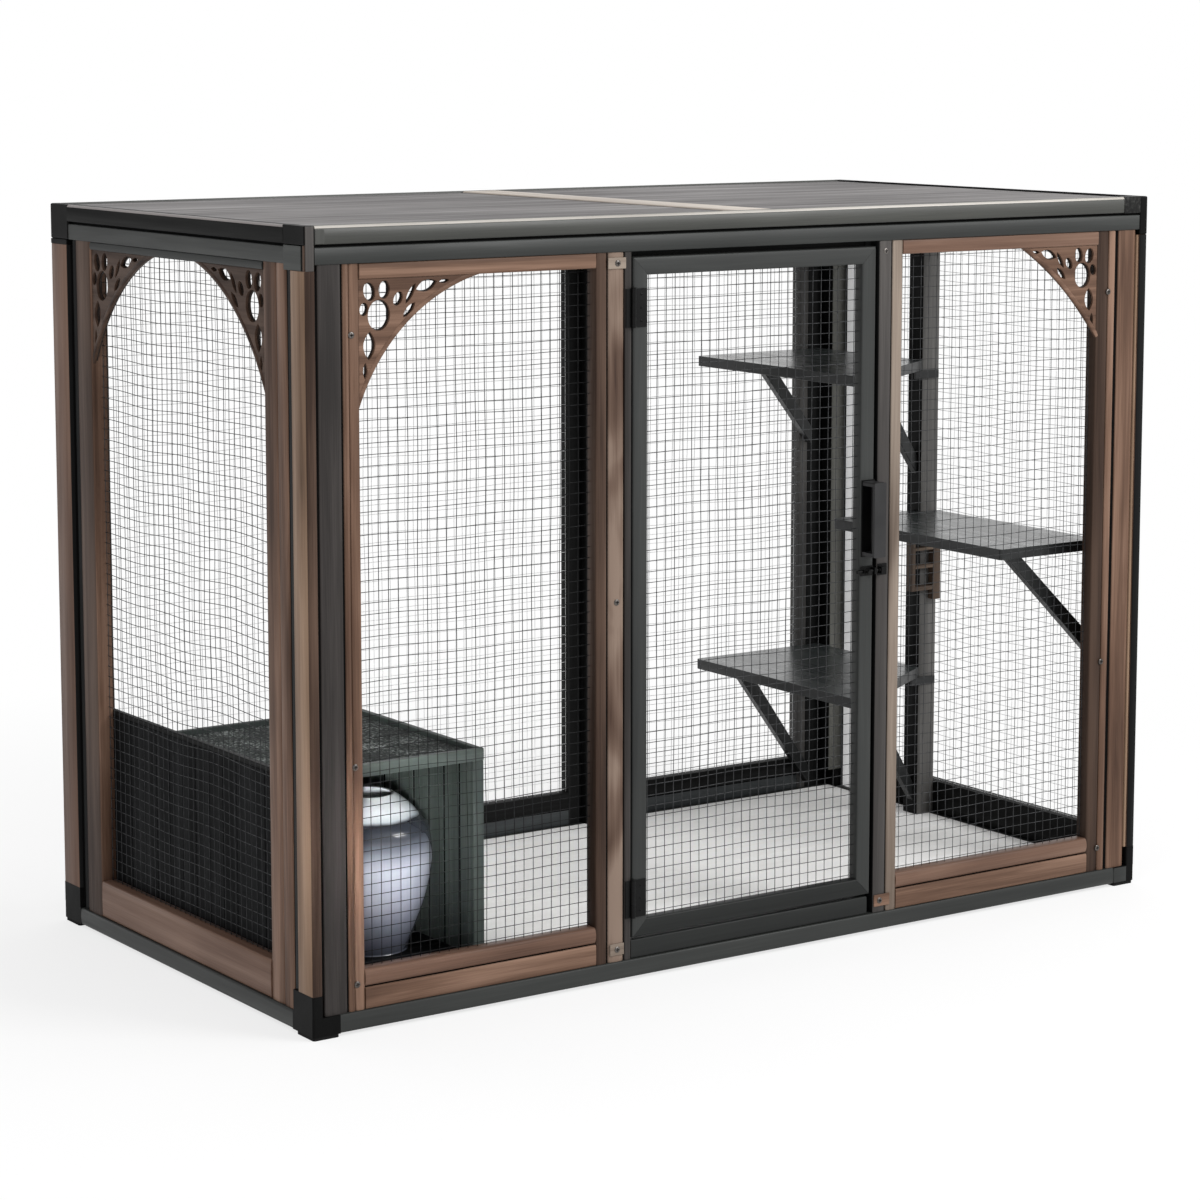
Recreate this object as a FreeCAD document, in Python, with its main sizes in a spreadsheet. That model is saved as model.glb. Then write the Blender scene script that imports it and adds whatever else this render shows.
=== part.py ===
import FreeCAD, Part
import Sketcher
import os

# Cat enclosure: a free-standing run with bronze panel frames between dark base
# and top rails, welded-wire infill, a hinged front door, a den and three shelves.
# Millimetres, +Z up, front towards -Y, origin at the middle of the footprint.

V = FreeCAD.Vector
doc = FreeCAD.newDocument("cat_enclosure")
sheet = doc.addObject("Spreadsheet::Sheet", "dims")

CELLS = [
    ("width", 2472), ("depth", 1256), ("height", 1800), ("pull_out", 44),
    ("post_w", 92), ("post_d", 88), ("post_bead", 26), ("post_rebate", 40),
    ("shoe_top", 100), ("cap_bottom", 1702), ("foot_thick", 8), ("foot_side", 76),
    ("base_top", 50), ("rail_depth", 60), ("shoe_len", 70),
    ("fascia_bottom", 1715), ("fascia_top", 1753), ("cap_rail_bottom", 1759),
    ("roof_seat", 1786), ("rim_width", 22), ("roof_thick", 10), ("batten_width", 110),
    ("face_in", 6), ("panel_depth", 40), ("panel_bottom", 50), ("panel_top", 1715),
    ("stile", 30), ("left_near_stile", 42), ("right_near_stile", 32), ("right_far_stile", 61), ("side_stile", 105), ("right_side_stile", 40), ("back_stile", 40), ("back_left_stile", 30), ("back_right_stile", 80), ("panel_head", 35), ("side_head", 19),
    ("panel_foot", 90), ("foot_groove", 3), ("rebate_wide", 12), ("rebate_deep", 14),
    ("filler_x", 34), ("filler_width", 58), ("filler_depth", 34),
    ("left_panel_end", 793), ("jamb_start", 797), ("jamb_width", 45),
    ("hinge_stile_start", 843), ("hinge_stile_width", 18), ("jamb_depth", 54),
    ("door_start", 866), ("door_end", 1584), ("door_bottom", 100), ("door_top", 1702),
    ("door_member", 42), ("door_depth", 30), ("strike_start", 1594), ("strike_width", 38),
    ("stop_width", 18), ("stop_depth", 20), ("right_panel_start", 1636), ("right_panel_end", 2371),
    ("back_post_start", 1542), ("back_post_width", 63), ("back_post_depth", 64),
    ("wire_side", 1.8), ("wire_pitch", 25.4), ("wire_gap", 0.3), ("wire_binding", 6),
    ("spandrel_wide", 313), ("spandrel_tall", 283), ("spandrel_bow", 446), ("spandrel_over", 420), ("spandrel_under", 433),
    ("flat_wide", 254), ("flat_tall", 235), ("flat_bow", 871), ("flat_over", 707), ("flat_under", 744),
    ("arch_wide", 326), ("arch_tall", 275), ("arch_bow", 527), ("arch_over", 474), ("arch_under", 506), ("spandrel_thick", 12),
    ("hinge_axis", 863.5), ("hinge_radius", 6), ("hinge_pin_radius", 3), ("hinge_tall", 89),
    ("hinge_leaf", 3), ("hinge_high", 1541), ("hinge_low", 150), ("hinge_knuckle", 29),
    ("pull_bottom", 950), ("pull_tall", 183), ("pull_wide", 36), ("pull_start", 1546), ("pull_wall", 8),
    ("bolt_level", 912), ("bolt_radius", 4.5), ("bolt_length", 62), ("bolt_start", 1527), ("bolt_fit", 0.05),
    ("stanchion_x", 2366), ("stanchion_y", 755), ("stanchion_side", 60),
    ("shelf_thick", 28), ("shelf_start", 1933), ("shelf_end", 2366), ("shelf_front", 490),
    ("upper_level", 1325), ("lower_level", 469), ("middle_level", 905),
    ("middle_start", 2087), ("middle_front", 107), ("middle_back", 793),
    ("brace_wide", 24), ("brace_bar", 38),
    ("den_start", 61), ("den_end", 584), ("den_front", 210), ("den_back", 792),
    ("den_top_level", 555), ("den_board", 16), ("den_member", 30), ("den_rim", 14), ("den_floor_thick", 4),
    ("floor_thick", 12), ("bearer_wide", 40), ("skirt_top", 565), ("skirt_thick", 14),
    ("urn_x", 400), ("urn_y", 430), ("urn_tall", 377),
]


class E:
    """A size: its cell expression and its number."""

    def __init__(self, text, value):
        self.text, self.value = text, float(value)

    def __add__(self, o):
        o = E.of(o)
        return E("(%s + %s)" % (self.text, o.text), self.value + o.value)

    def __radd__(self, o):
        return E.of(o) + self

    def __sub__(self, o):
        o = E.of(o)
        return E("(%s - %s)" % (self.text, o.text), self.value - o.value)

    def __rsub__(self, o):
        return E.of(o) - self

    def __mul__(self, o):
        o = E.of(o)
        return E("(%s * %s)" % (self.text, o.text), self.value * o.value)

    def __truediv__(self, o):
        o = E.of(o)
        return E("(%s / %s)" % (self.text, o.text), self.value / o.value)

    def __neg__(self):
        return E("(0 - %s)" % self.text, -self.value)

    @staticmethod
    def of(v):
        return v if isinstance(v, E) else E(("(%.6g)" if v < 0 else "%.6g") % v, v)


class Sizes:
    pass


S = Sizes()
for i, (alias, value) in enumerate(CELLS, 1):
    sheet.set("A%d" % i, alias)
    sheet.set("B%d" % i, "%.6g" % value)
    sheet.setAlias("B%d" % i, alias)
    setattr(S, alias, E("dims." + alias, value))
doc.recompute()

NODES = []


def node(obj, label):
    obj.Label = label
    NODES.append(obj)
    return obj


def put(obj, x, y, z, rotation=None):
    """x from the left side, y from the front face, z from the ground."""
    spots = (E.of(x) - S.width / 2, E.of(y) - S.depth / 2 + S.pull_out / 2, E.of(z))
    obj.Placement = FreeCAD.Placement(V(*[e.value for e in spots]), rotation or FreeCAD.Rotation())
    for axis, e in zip("xyz", spots):
        obj.setExpression("Placement.Base." + axis, e.text)
    return obj


def block(name, x, y, z, lx, ly, lz):
    obj = doc.addObject("Part::Box", name)
    for prop, e in (("Length", lx), ("Width", ly), ("Height", lz)):
        e = E.of(e)
        setattr(obj, prop, e.value)
        obj.setExpression(prop, e.text)
    return put(obj, x, y, z)


def rod(name, x, y, z, radius, length, rotation=None):
    obj = doc.addObject("Part::Cylinder", name)
    for prop, e in (("Radius", radius), ("Height", length)):
        e = E.of(e)
        setattr(obj, prop, e.value)
        obj.setExpression(prop, e.text)
    return put(obj, x, y, z, rotation)


ALONG_X = FreeCAD.Rotation(V(0, 1, 0), 90)
ALONG_Y = FreeCAD.Rotation(V(1, 0, 0), -90)


def cut(name, base, tool):
    obj = doc.addObject("Part::Cut", name)
    obj.Base, obj.Tool = base, tool
    return obj


def fuse(name, pieces):
    obj = doc.addObject("Part::MultiFuse", name)
    obj.Shapes = pieces
    obj.Refine = True
    return obj


def group(name, pieces):
    obj = doc.addObject("Part::Compound", name)
    obj.Links = pieces
    return obj


def mirror(name, source, normal):
    obj = doc.addObject("Part::Mirroring", name)
    obj.Source = source
    obj.Normal = V(*normal)
    obj.Base = V(0, (S.pull_out / 2).value, 0)
    obj.setExpression("Base.y", (S.pull_out / 2).text)
    return obj


def pair(label, source, normal):
    """A piece and its mirror twin in one node."""
    return node(group(label + "_pair", [source, mirror(label + "_twin", source, normal)]), label)


def sketch(body, name, role):
    sk = body.newObject("Sketcher::SketchObject", name)
    sk.AttachmentSupport = [([f for f in body.Origin.OriginFeatures if f.Role == role][0], "")]
    sk.MapMode = "FlatFace"
    return sk


def outline(sk, points):
    """A closed outline whose every corner is held by two cell-driven distances."""
    pts = [(E.of(a), E.of(b)) for a, b in points]
    n = len(pts)
    first = sk.GeometryCount
    for i in range(n):
        a, b = pts[i], pts[(i + 1) % n]
        sk.addGeometry(Part.LineSegment(V(a[0].value, a[1].value, 0), V(b[0].value, b[1].value, 0)), False)
    for i in range(n):
        sk.addConstraint(Sketcher.Constraint("Coincident", first + i, 2, first + (i + 1) % n, 1))
    for i in range(n):
        for kind, e in (("DistanceX", pts[i][0]), ("DistanceY", pts[i][1])):
            k = sk.addConstraint(Sketcher.Constraint(kind, -1, 1, first + i, 1, e.value))
            sk.setExpression("Constraints[%d]" % k, e.text)


def rect(a0, b0, a1, b1):
    return [(a0, b0), (a1, b0), (a1, b1), (a0, b1)]


def pad(body, sk, name, length, reverse=False):
    p = body.newObject("PartDesign::Pad", name)
    p.Profile = sk
    e = E.of(length)
    p.Length = e.value
    p.setExpression("Length", e.text)
    p.Reversed = reverse
    sk.Visibility = False
    return p


def pocket(body, sk, name, length, reverse=False):
    before = body.Shape.Volume
    p = body.newObject("PartDesign::Pocket", name)
    p.Profile = sk
    e = E.of(length)
    p.Length = e.value
    p.setExpression("Length", e.text)
    p.Reversed = reverse
    doc.recompute()
    if not body.Shape.Volume < before - 1:
        raise SystemExit("pocket cuts nothing: " + body.Label)
    return p


def soften(body, feature, name, radius, keep):
    doc.recompute()
    edges = ["Edge%d" % (i + 1) for i, e in enumerate(feature.Shape.Edges) if keep(e)]
    f = body.newObject("PartDesign::Fillet", name)
    f.Base = (feature, edges)
    f.Radius = radius
    f.setExpression("Radius", "%.6g" % radius)
    doc.recompute()
    return f


def runs_along(e, axis):
    if e.Curve.TypeId != "Part::GeomLine":
        return False
    d = e.Curve.Direction
    return abs(getattr(d, axis)) > 0.99


def prism(name, role, points, length, spot, reverse=False, holes=(), radius=0, keep=None):
    body = doc.addObject("PartDesign::Body", name)
    sk = sketch(body, name + "_outline", role)
    outline(sk, points)
    for h in holes:
        outline(sk, h)
    p = pad(body, sk, name + "_pad", length, reverse)
    if radius:
        axis = {"XY_Plane": "z", "XZ_Plane": "y", "YZ_Plane": "x"}[role]
        soften(body, p, name + "_round", radius, keep or (lambda e: runs_along(e, axis)))
    put(body, *spot)
    return body


# corner posts -------------------------------------------------------------
L_POST = [(0, 0), (S.post_bead, 0), (S.post_bead, S.post_rebate), (S.post_w, S.post_rebate),
          (S.post_w, S.post_d), (0, S.post_d)]


def outer(e):
    b = e.BoundBox
    return runs_along(e, "z") and b.YMin < 1 and b.XMax < S.post_bead.value + 1


fl = prism("post_fl", "XY_Plane", L_POST, S.cap_bottom - S.shoe_top, (0, 0, S.shoe_top),
                radius=4, keep=outer)
pair("corner_posts_front", fl, (1, 0, 0))
bl = prism("post_bl", "XY_Plane", rect(0, 0, S.post_w, S.post_d), S.cap_bottom - S.shoe_top,
                (0, S.depth - S.post_d, S.shoe_top), radius=4)
pair("corner_posts_back", bl, (1, 0, 0))

# dark filler strips seated in the front rebate of the two front posts
ffl = prism("filler_fl", "XY_Plane", rect(0, 0, S.filler_width, S.filler_depth),
                 S.panel_top - S.panel_bottom, (S.filler_x, S.face_in, S.panel_bottom), radius=2.5,
                 keep=lambda e: runs_along(e, "z") and e.BoundBox.YMax < 1)
pair("post_fillers", ffl, (1, 0, 0))

# cast corner shoes and caps: four of each --------------------------------
def back_edge(e):
    b = e.BoundBox
    return runs_along(e, "z") and b.XMax < 1 and b.YMin > S.post_d.value - 1


shoe_low = prism("shoe_low", "XY_Plane", rect(0, 0, S.shoe_len, S.post_d + 4), S.base_top - S.foot_thick,
                 (0, 0, S.foot_thick), radius=5,
                 keep=lambda e: runs_along(e, "z") and e.BoundBox.XMax < 1 and e.BoundBox.YMax < 1)
shoe_high = prism("shoe_high", "XY_Plane", L_POST[:2] + [(S.post_bead, S.post_rebate), (S.shoe_len, S.post_rebate),
                  (S.shoe_len, S.post_d), (0, S.post_d)], S.shoe_top - S.base_top, (0, 0, S.base_top),
                  radius=4, keep=outer)
shoe_fl = fuse("shoe_fl", [shoe_low, shoe_high])
shoe_fr = mirror("shoe_fr", shoe_fl, (1, 0, 0))
shoe_bl = fuse("shoe_bl", [mirror("shoe_bl_low", shoe_low, (0, 1, 0)),
                           prism("shoe_bl_high", "XY_Plane", rect(0, 0, S.shoe_len, S.post_d), S.shoe_top - S.base_top,
                                 (0, S.depth - S.post_d, S.base_top), radius=4, keep=back_edge)])
shoe_br = mirror("shoe_br", shoe_bl, (1, 0, 0))
node(group("shoes", [shoe_fl, shoe_fr, shoe_bl, shoe_br]), "bottom_corner_shoes")

cap_low = prism("cap_low", "XY_Plane", L_POST, S.fascia_bottom - S.cap_bottom, (0, 0, S.cap_bottom), radius=4, keep=outer)
cap_high = prism("cap_high", "XY_Plane", rect(0, 0, S.post_bead, S.post_d + 4), S.height - S.fascia_bottom,
                 (0, 0, S.fascia_bottom), radius=4,
                 keep=lambda e: (runs_along(e, "z") and e.BoundBox.YMax < 1 and e.BoundBox.XMax < 1))
cap_fl = fuse("cap_fl", [cap_low, cap_high])
cap_fr = mirror("cap_fr", cap_fl, (1, 0, 0))
cap_bl = fuse("cap_bl", [mirror("cap_bl_high", cap_high, (0, 1, 0)),
                         prism("cap_bl_low", "XY_Plane", rect(0, 0, S.post_w, S.post_d), S.fascia_bottom - S.cap_bottom,
                               (0, S.depth - S.post_d, S.cap_bottom), radius=4, keep=back_edge)])
cap_br = mirror("cap_br", cap_bl, (1, 0, 0))
node(group("caps", [cap_fl, cap_fr, cap_bl, cap_br]), "top_corner_caps")

# four pads under the shoes
pad_fl = prism("pad_fl", "XY_Plane", rect(0, 0, S.foot_side - 10, S.foot_side), S.foot_thick, (2, 2, 0), radius=6)
pad_fr = mirror("pad_fr", pad_fl, (1, 0, 0))
pad_bl = mirror("pad_bl", pad_fl, (0, 1, 0))
pad_br = mirror("pad_br", pad_fr, (0, 1, 0))
node(group("pads", [pad_fl, pad_fr, pad_bl, pad_br]), "foot_pads")

# base rails ---------------------------------------------------------------
RAIL_H = S.base_top - S.foot_thick
fb = prism("base_f", "YZ_Plane", rect(0, 0, S.rail_depth, RAIL_H), S.width - S.shoe_len * 2,
                (S.shoe_len, 0, S.foot_thick), radius=3)
pair("base_rails_long", fb, (0, 1, 0))
lb = prism("base_l", "XZ_Plane", rect(0, 0, S.rail_depth, RAIL_H), S.depth - (S.post_d + 4) * 2,
                (0, S.post_d + 4, S.foot_thick), reverse=True, radius=3)
pair("base_rails_short", lb, (1, 0, 0))

# top rails: fascia, shadow groove, cap with a seat for the roof boards ------
TOP = [(0, S.cap_rail_bottom - S.fascia_bottom), (0, S.height - S.fascia_bottom),
       (S.rim_width, S.height - S.fascia_bottom), (S.rim_width, S.roof_seat - S.fascia_bottom),
       (S.rail_depth, S.roof_seat - S.fascia_bottom), (S.rail_depth, 0), (2, 0),
       (2, S.fascia_top - S.fascia_bottom), (9, S.fascia_top - S.fascia_bottom),
       (9, S.cap_rail_bottom - S.fascia_bottom)]


def top_edge(axis, across):
    def keep(e):
        return runs_along(e, axis) and getattr(e.BoundBox, across + "Max") < 3
    return keep


ft = prism("top_f", "YZ_Plane", TOP, S.width - S.post_bead * 2, (S.post_bead, 0, S.fascia_bottom),
                radius=2, keep=top_edge("x", "Y"))
pair("top_rails_long", ft, (0, 1, 0))
lt = prism("top_l", "XZ_Plane", TOP, S.depth - (S.post_d + 4) * 2, (0, S.post_d + 4, S.fascia_bottom),
                reverse=True, radius=2, keep=top_edge("y", "X"))
pair("top_rails_short", lt, (1, 0, 0))

# roof boards and the batten over their joint ------------------------------
ROOF_IN = S.post_bead + 2
ROOF_MID = S.width * 0.497
roof_l = block("roof_l", ROOF_IN, ROOF_IN, S.roof_seat, ROOF_MID - 2 - ROOF_IN, S.depth - ROOF_IN * 2, S.roof_thick)
roof_r = (block("roof_r", ROOF_MID + 2, ROOF_IN, S.roof_seat, S.width - ROOF_IN - ROOF_MID - 2, S.depth - ROOF_IN * 2,
           S.roof_thick))
node(group("roof_pair", [roof_l, roof_r]), "roof_boards")
node(prism("batten", "XZ_Plane", [(0, 0), (S.batten_width, 0), (S.batten_width - 6, 4), (6, 4)],
           S.depth - ROOF_IN * 2, (ROOF_MID - S.batten_width / 2, ROOF_IN, S.roof_seat + S.roof_thick),
           reverse=True), "roof_batten")
node(block("roof_beam", ROOF_MID - 25, S.rail_depth, S.roof_seat - 40, 50, S.depth - S.rail_depth * 2, 40), "roof_beam")


# panel frames --------------------------------------------------------------
def panel(name, role, span, low, high, sides, head, foot, deep, inner_spot, outward, groove):
    """A four-sided frame with a rebate for the wire on its inner face."""
    body = doc.addObject("PartDesign::Body", name)
    sk = sketch(body, name + "_outline", role)
    span, tall = E.of(span), high - low
    outline(sk, rect(0, 0, span, tall))
    near, far = sides if isinstance(sides, tuple) else (sides, sides)
    outline(sk, rect(near, foot, span - far, tall - head))
    pad_reverse = {"XZ_Plane": outward > 0, "YZ_Plane": outward < 0}[role]
    p = pad(body, sk, name + "_pad", deep, pad_reverse)
    axis = {"XZ_Plane": "y", "YZ_Plane": "x"}[role]
    deep_value = E.of(deep).value * outward

    def front_edge(e):
        c = e.BoundBox.Center
        return abs(getattr(c, axis) - deep_value) < 0.5
    soften(body, p, name + "_round", 3.5, front_edge)
    rb = sketch(body, name + "_rebate", role)
    k = S.rebate_wide
    outline(rb, rect(near - k, foot - k, span - far + k, tall - head + k))
    pocket(body, rb, name + "_seat", S.rebate_deep, not pad_reverse)
    put(body, *inner_spot)
    if not groove:
        return body
    # shadow groove that splits the tall foot rail in two
    x, y, z = inner_spot
    level = low + foot / 2 - 1
    reach = E.of(deep)
    if role == "XZ_Plane":
        slot = block(name + "_groove", E.of(x) + near, E.of(y) + (reach - 4 if outward > 0 else -reach - 1), level,
                     span - near - far, 5, S.foot_groove)
    else:
        slot = block(name + "_groove", E.of(x) + (reach - 4 if outward > 0 else -reach - 1), E.of(y) + near, level,
                     5, span - near - far, S.foot_groove)
    return cut(name + "_cut", body, slot)


IN_FRONT = S.face_in + S.panel_depth
IN_BACK = S.depth - IN_FRONT
PB, PT = S.panel_bottom, S.panel_top
FP_START = S.filler_x + S.filler_width + 5
SIDE_A, SIDE_B = S.post_d + 8, S.depth - S.post_d - 8

node(panel("panel_fl", "XZ_Plane", S.left_panel_end - FP_START, PB, PT, (S.left_near_stile, S.stile), S.panel_head, S.panel_foot,
           S.panel_depth, (FP_START, IN_FRONT, PB), -1, True), "front_left_panel_frame")
node(panel("panel_fr", "XZ_Plane", S.right_panel_end - S.right_panel_start, PB, PT, (S.right_near_stile, S.right_far_stile),
           S.panel_head, S.panel_foot,
           S.panel_depth, (S.right_panel_start, IN_FRONT, PB), -1, True), "front_right_panel_frame")
node(panel("panel_l", "YZ_Plane", SIDE_B - SIDE_A, PB, PT, S.side_stile, S.side_head, S.panel_foot,
           S.panel_depth, (IN_FRONT, SIDE_A, PB), -1, True), "left_panel_frame")
node(panel("panel_r", "YZ_Plane", SIDE_B - SIDE_A, PB, PT, S.right_side_stile, S.side_head, S.panel_foot,
           S.panel_depth, (S.width - IN_FRONT, SIDE_A, PB), 1, True), "right_panel_frame")
node(panel("panel_bl", "XZ_Plane", S.back_post_start - 2 - S.post_w - 4, PB, PT, (S.back_left_stile, S.back_stile), S.panel_head, S.panel_foot,
           S.panel_depth, (S.post_w + 4, IN_BACK, PB), 1, True), "back_left_panel_frame")
BR0 = S.back_post_start + S.back_post_width + 2
node(panel("panel_br", "XZ_Plane", S.width - S.post_w - 4 - BR0, PB, PT, (S.back_stile, S.back_right_stile), S.panel_head, S.panel_foot,
           S.panel_depth, (BR0, IN_BACK, PB), 1, True), "back_right_panel_frame")

# intermediate posts ---------------------------------------------------------
node(prism("back_post", "XY_Plane", rect(0, 0, S.back_post_width, S.back_post_depth), PT - PB,
           (S.back_post_start, S.depth - S.face_in - S.back_post_depth, PB), radius=3), "back_centre_post")
node(prism("jamb", "XY_Plane", rect(0, 0, S.jamb_width, S.jamb_depth), PT - PB, (S.jamb_start, S.face_in, PB),
           radius=4), "door_jamb_post")
node(prism("hinge_stile", "XY_Plane", rect(0, 0, S.hinge_stile_width, S.jamb_depth), PT - PB,
           (S.hinge_stile_start, S.face_in, PB), radius=1.5), "hinge_stile")
node(prism("strike", "XY_Plane", [(S.stop_width, 0), (S.stop_width + S.strike_width, 0),
           (S.stop_width + S.strike_width, S.jamb_depth), (0, S.jamb_depth), (0, S.jamb_depth - S.stop_depth),
           (S.stop_width, S.jamb_depth - S.stop_depth)], PT - PB, (S.strike_start - S.stop_width, S.face_in, PB),
           radius=1.5), "strike_post")
SILL0 = S.hinge_stile_start + S.hinge_stile_width + 1
node(prism("sill", "YZ_Plane", rect(0, 0, S.jamb_depth - 22, S.door_bottom - PB - 5), S.strike_start - S.stop_width - 1 - SILL0,
           (SILL0, S.face_in, PB), radius=2), "door_threshold")
node(block("lintel", SILL0, S.face_in + S.door_depth + 4, S.door_top - 14, S.strike_start - S.stop_width - 1 - SILL0, 16,
           PT - S.door_top + 14), "door_head_stop")
node(prism("stanchion", "XY_Plane", rect(0, 0, S.stanchion_side, S.stanchion_side), PT - PB,
           (S.stanchion_x, S.stanchion_y, PB), radius=3), "shelf_stanchion")

# the door ---------------------------------------------------------------------
node(panel("door", "XZ_Plane", S.door_end - S.door_start, S.door_bottom, S.door_top, S.door_member, S.door_member,
           S.door_member, S.door_depth, (S.door_start, S.face_in + S.door_depth, S.door_bottom), -1, False), "door_frame")


# welded wire ------------------------------------------------------------------
def wires(name, along, a0, a1, z0, z1, seat, inward):
    """Uprights and cross wires at one pitch, tied into one piece by an edge binding."""
    t, pitch, gap, bind = S.wire_side.value, S.wire_pitch.value, S.wire_gap.value, S.wire_binding.value
    a0, a1, z0, z1, seat = [E.of(v).value for v in (a0, a1, z0, z1, seat)]
    hold = S.rebate_wide.value - 2
    deep = 2 * t + gap

    def bar(a, z, la, lz, off, thick):
        lay = seat + off if inward > 0 else seat - off - thick
        if along == "x":
            return Part.makeBox(la, thick, lz, V(a, lay, z))
        return Part.makeBox(thick, la, lz, V(lay, a, z))
    ring = bar(a0 - hold, z0 - hold, a1 - a0 + 2 * hold, z1 - z0 + 2 * hold, 0, deep)
    k = hold - bind
    void = bar(a0 - k, z0 - k, a1 - a0 + 2 * k, z1 - z0 + 2 * k, -1, deep + 2)
    ring = ring.cut(void)
    tie = k + bind / 2
    out = []
    n = int((a1 - a0) // pitch)
    first = a0 + (a1 - a0 - n * pitch) / 2
    for i in range(n + 1):
        out.append(bar(first + i * pitch - t / 2, z0 - tie, t, z1 - z0 + 2 * tie, 0, t))
    n = int((z1 - z0) // pitch)
    first = z0 + (z1 - z0 - n * pitch) / 2
    for i in range(n + 1):
        out.append(bar(a0 - tie, first + i * pitch - t / 2, a1 - a0 + 2 * tie, t, t + gap, t))
    obj = doc.addObject("Part::Feature", name)
    obj.Shape = ring.fuse(out)
    return put(obj, 0, 0, 0)


LOW, HIGH, SIDE_HIGH = PB + S.panel_foot, PT - S.panel_head, PT - S.side_head
FSEAT = IN_FRONT - S.rebate_deep
BSEAT = IN_BACK + S.rebate_deep
node(wires("mesh_fl", "x", FP_START + S.left_near_stile, S.left_panel_end - S.stile, LOW, HIGH, FSEAT, 1), "front_left_wire")
node(wires("mesh_fr", "x", S.right_panel_start + S.right_near_stile, S.right_panel_end - S.right_far_stile, LOW, HIGH, FSEAT, 1),
     "front_right_wire")
node(wires("mesh_l", "y", SIDE_A + S.side_stile, SIDE_B - S.side_stile, LOW, SIDE_HIGH, FSEAT, 1), "left_wire")
node(wires("mesh_r", "y", SIDE_A + S.right_side_stile, SIDE_B - S.right_side_stile, LOW, SIDE_HIGH, S.width - FSEAT, -1), "right_wire")
node(wires("mesh_bl", "x", S.post_w + 4 + S.back_left_stile, S.back_post_start - 2 - S.back_stile, LOW, HIGH, BSEAT, -1), "back_left_wire")
node(wires("mesh_br", "x", BR0 + S.back_stile, S.width - S.post_w - 4 - S.back_right_stile, LOW, HIGH, BSEAT, -1), "back_right_wire")
node(wires("mesh_door", "x", S.door_start + S.door_member, S.door_end - S.door_member, S.door_bottom + S.door_member,
           S.door_top - S.door_member, S.face_in + S.door_depth - S.rebate_deep, 1), "door_wire")

# pierced arch spandrels ----------------------------------------------------------
# piercings as (from corner along, down from head, half width, half height)
PIERCED = [(59, 70, 22, 27), (21, 60, 11, 13), (40, 24, 13, 17), (72, 23, 11, 16), (98, 44, 10, 14), (120, 28, 7, 15),
           (160, 22, 24, 15), (126, 60, 10, 17), (43, 136, 16, 27), (13, 118, 7, 17)]


def ellipse_bar(name, along, a, y, z, half_a, half_z):
    obj = doc.addObject("Part::Ellipse", name + "_ring")
    half_a, half_z = E.of(half_a), E.of(half_z)
    big, small = (half_a, half_z) if half_a.value >= half_z.value else (half_z, half_a)
    obj.MajorRadius, obj.MinorRadius = big.value, small.value
    obj.setExpression("MajorRadius", big.text)
    obj.setExpression("MinorRadius", small.text)
    turn = FreeCAD.Rotation(V(1, 0, 0), 90) if along == "x" else FreeCAD.Rotation(V(1, 1, 1), 120)
    if half_a.value < half_z.value:
        turn = turn.multiply(FreeCAD.Rotation(V(0, 0, 1), 90))
    if along == "x":
        put(obj, a, y, z, turn)
    else:
        put(obj, y, a, z, turn)
    ext = doc.addObject("Part::Extrusion", name)
    ext.Base = obj
    ext.DirMode = "Custom"
    ext.Dir = V(0, 1, 0) if along == "x" else V(1, 0, 0)
    ext.LengthFwd = 40
    ext.Symmetric = True
    ext.Solid = True
    return ext


def spandrel(name, along, corner, side, head, wide, tall, bow, over, under, seat):
    """Corner plate with a bowed arch edge, pierced with a paw and leaves."""
    corner, head = E.of(corner), E.of(head)
    start = corner if side > 0 else corner - wide
    t = S.spandrel_thick
    centre = corner + over * side
    if along == "x":
        plate = block(name + "_plate", start, seat, head - tall, wide, t, tall)
        arch = rod(name + "_arch", centre, seat - 5, head - under, bow, t + 10, ALONG_Y)
    else:
        plate = block(name + "_plate", seat, start, head - tall, t, wide, tall)
        arch = rod(name + "_arch", seat - 5, centre, head - under, bow, t + 10, ALONG_X)
    tools = [arch]
    for i, spot in enumerate(PIERCED):
        a, d, ha, hd = spot
        tools.append(ellipse_bar("%s_hole%d" % (name, i), along, corner + a * side, seat + t / 2, head - d, ha, hd))
    doc.recompute()
    many = doc.addObject("Part::Compound", name + "_tools")
    many.Links = tools
    return cut(name, plate, many)


SP_SEAT = S.face_in + 5
FLAT_BOW = (S.flat_wide, S.flat_tall, S.flat_bow, S.flat_over, S.flat_under, SP_SEAT)
FRONT_BOW = (S.spandrel_wide, S.spandrel_tall, S.spandrel_bow, S.spandrel_over, S.spandrel_under, SP_SEAT)
SIDE_BOW = (S.arch_wide, S.arch_tall, S.arch_bow, S.arch_over, S.arch_under, SP_SEAT)
node(group("sp_front", [spandrel("sp_fl", "x", FP_START + S.left_near_stile, 1, HIGH, *FRONT_BOW),
                        spandrel("sp_fr", "x", S.right_panel_end - S.right_far_stile, -1, HIGH, *FLAT_BOW)]), "front_spandrels")
node(group("sp_left", [spandrel("sp_ln", "y", SIDE_A + S.side_stile, 1, SIDE_HIGH, *SIDE_BOW),
                       spandrel("sp_lf", "y", SIDE_B - S.side_stile, -1, SIDE_HIGH, *SIDE_BOW)]), "left_spandrels")

# hinges ---------------------------------------------------------------------------
K = S.hinge_knuckle


def leaf_plate(name, x, z, lx, lz):
    return block(name, x, S.face_in - S.hinge_leaf, z, lx, S.hinge_leaf, lz)


def knuckle(name, z, lz):
    solid = rod(name + "_out", S.hinge_axis, 0, z, S.hinge_radius, lz)
    bore = rod(name + "_in", S.hinge_axis, 0, z - 1, S.hinge_pin_radius + 0.05, lz + 2)
    return solid, bore


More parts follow.
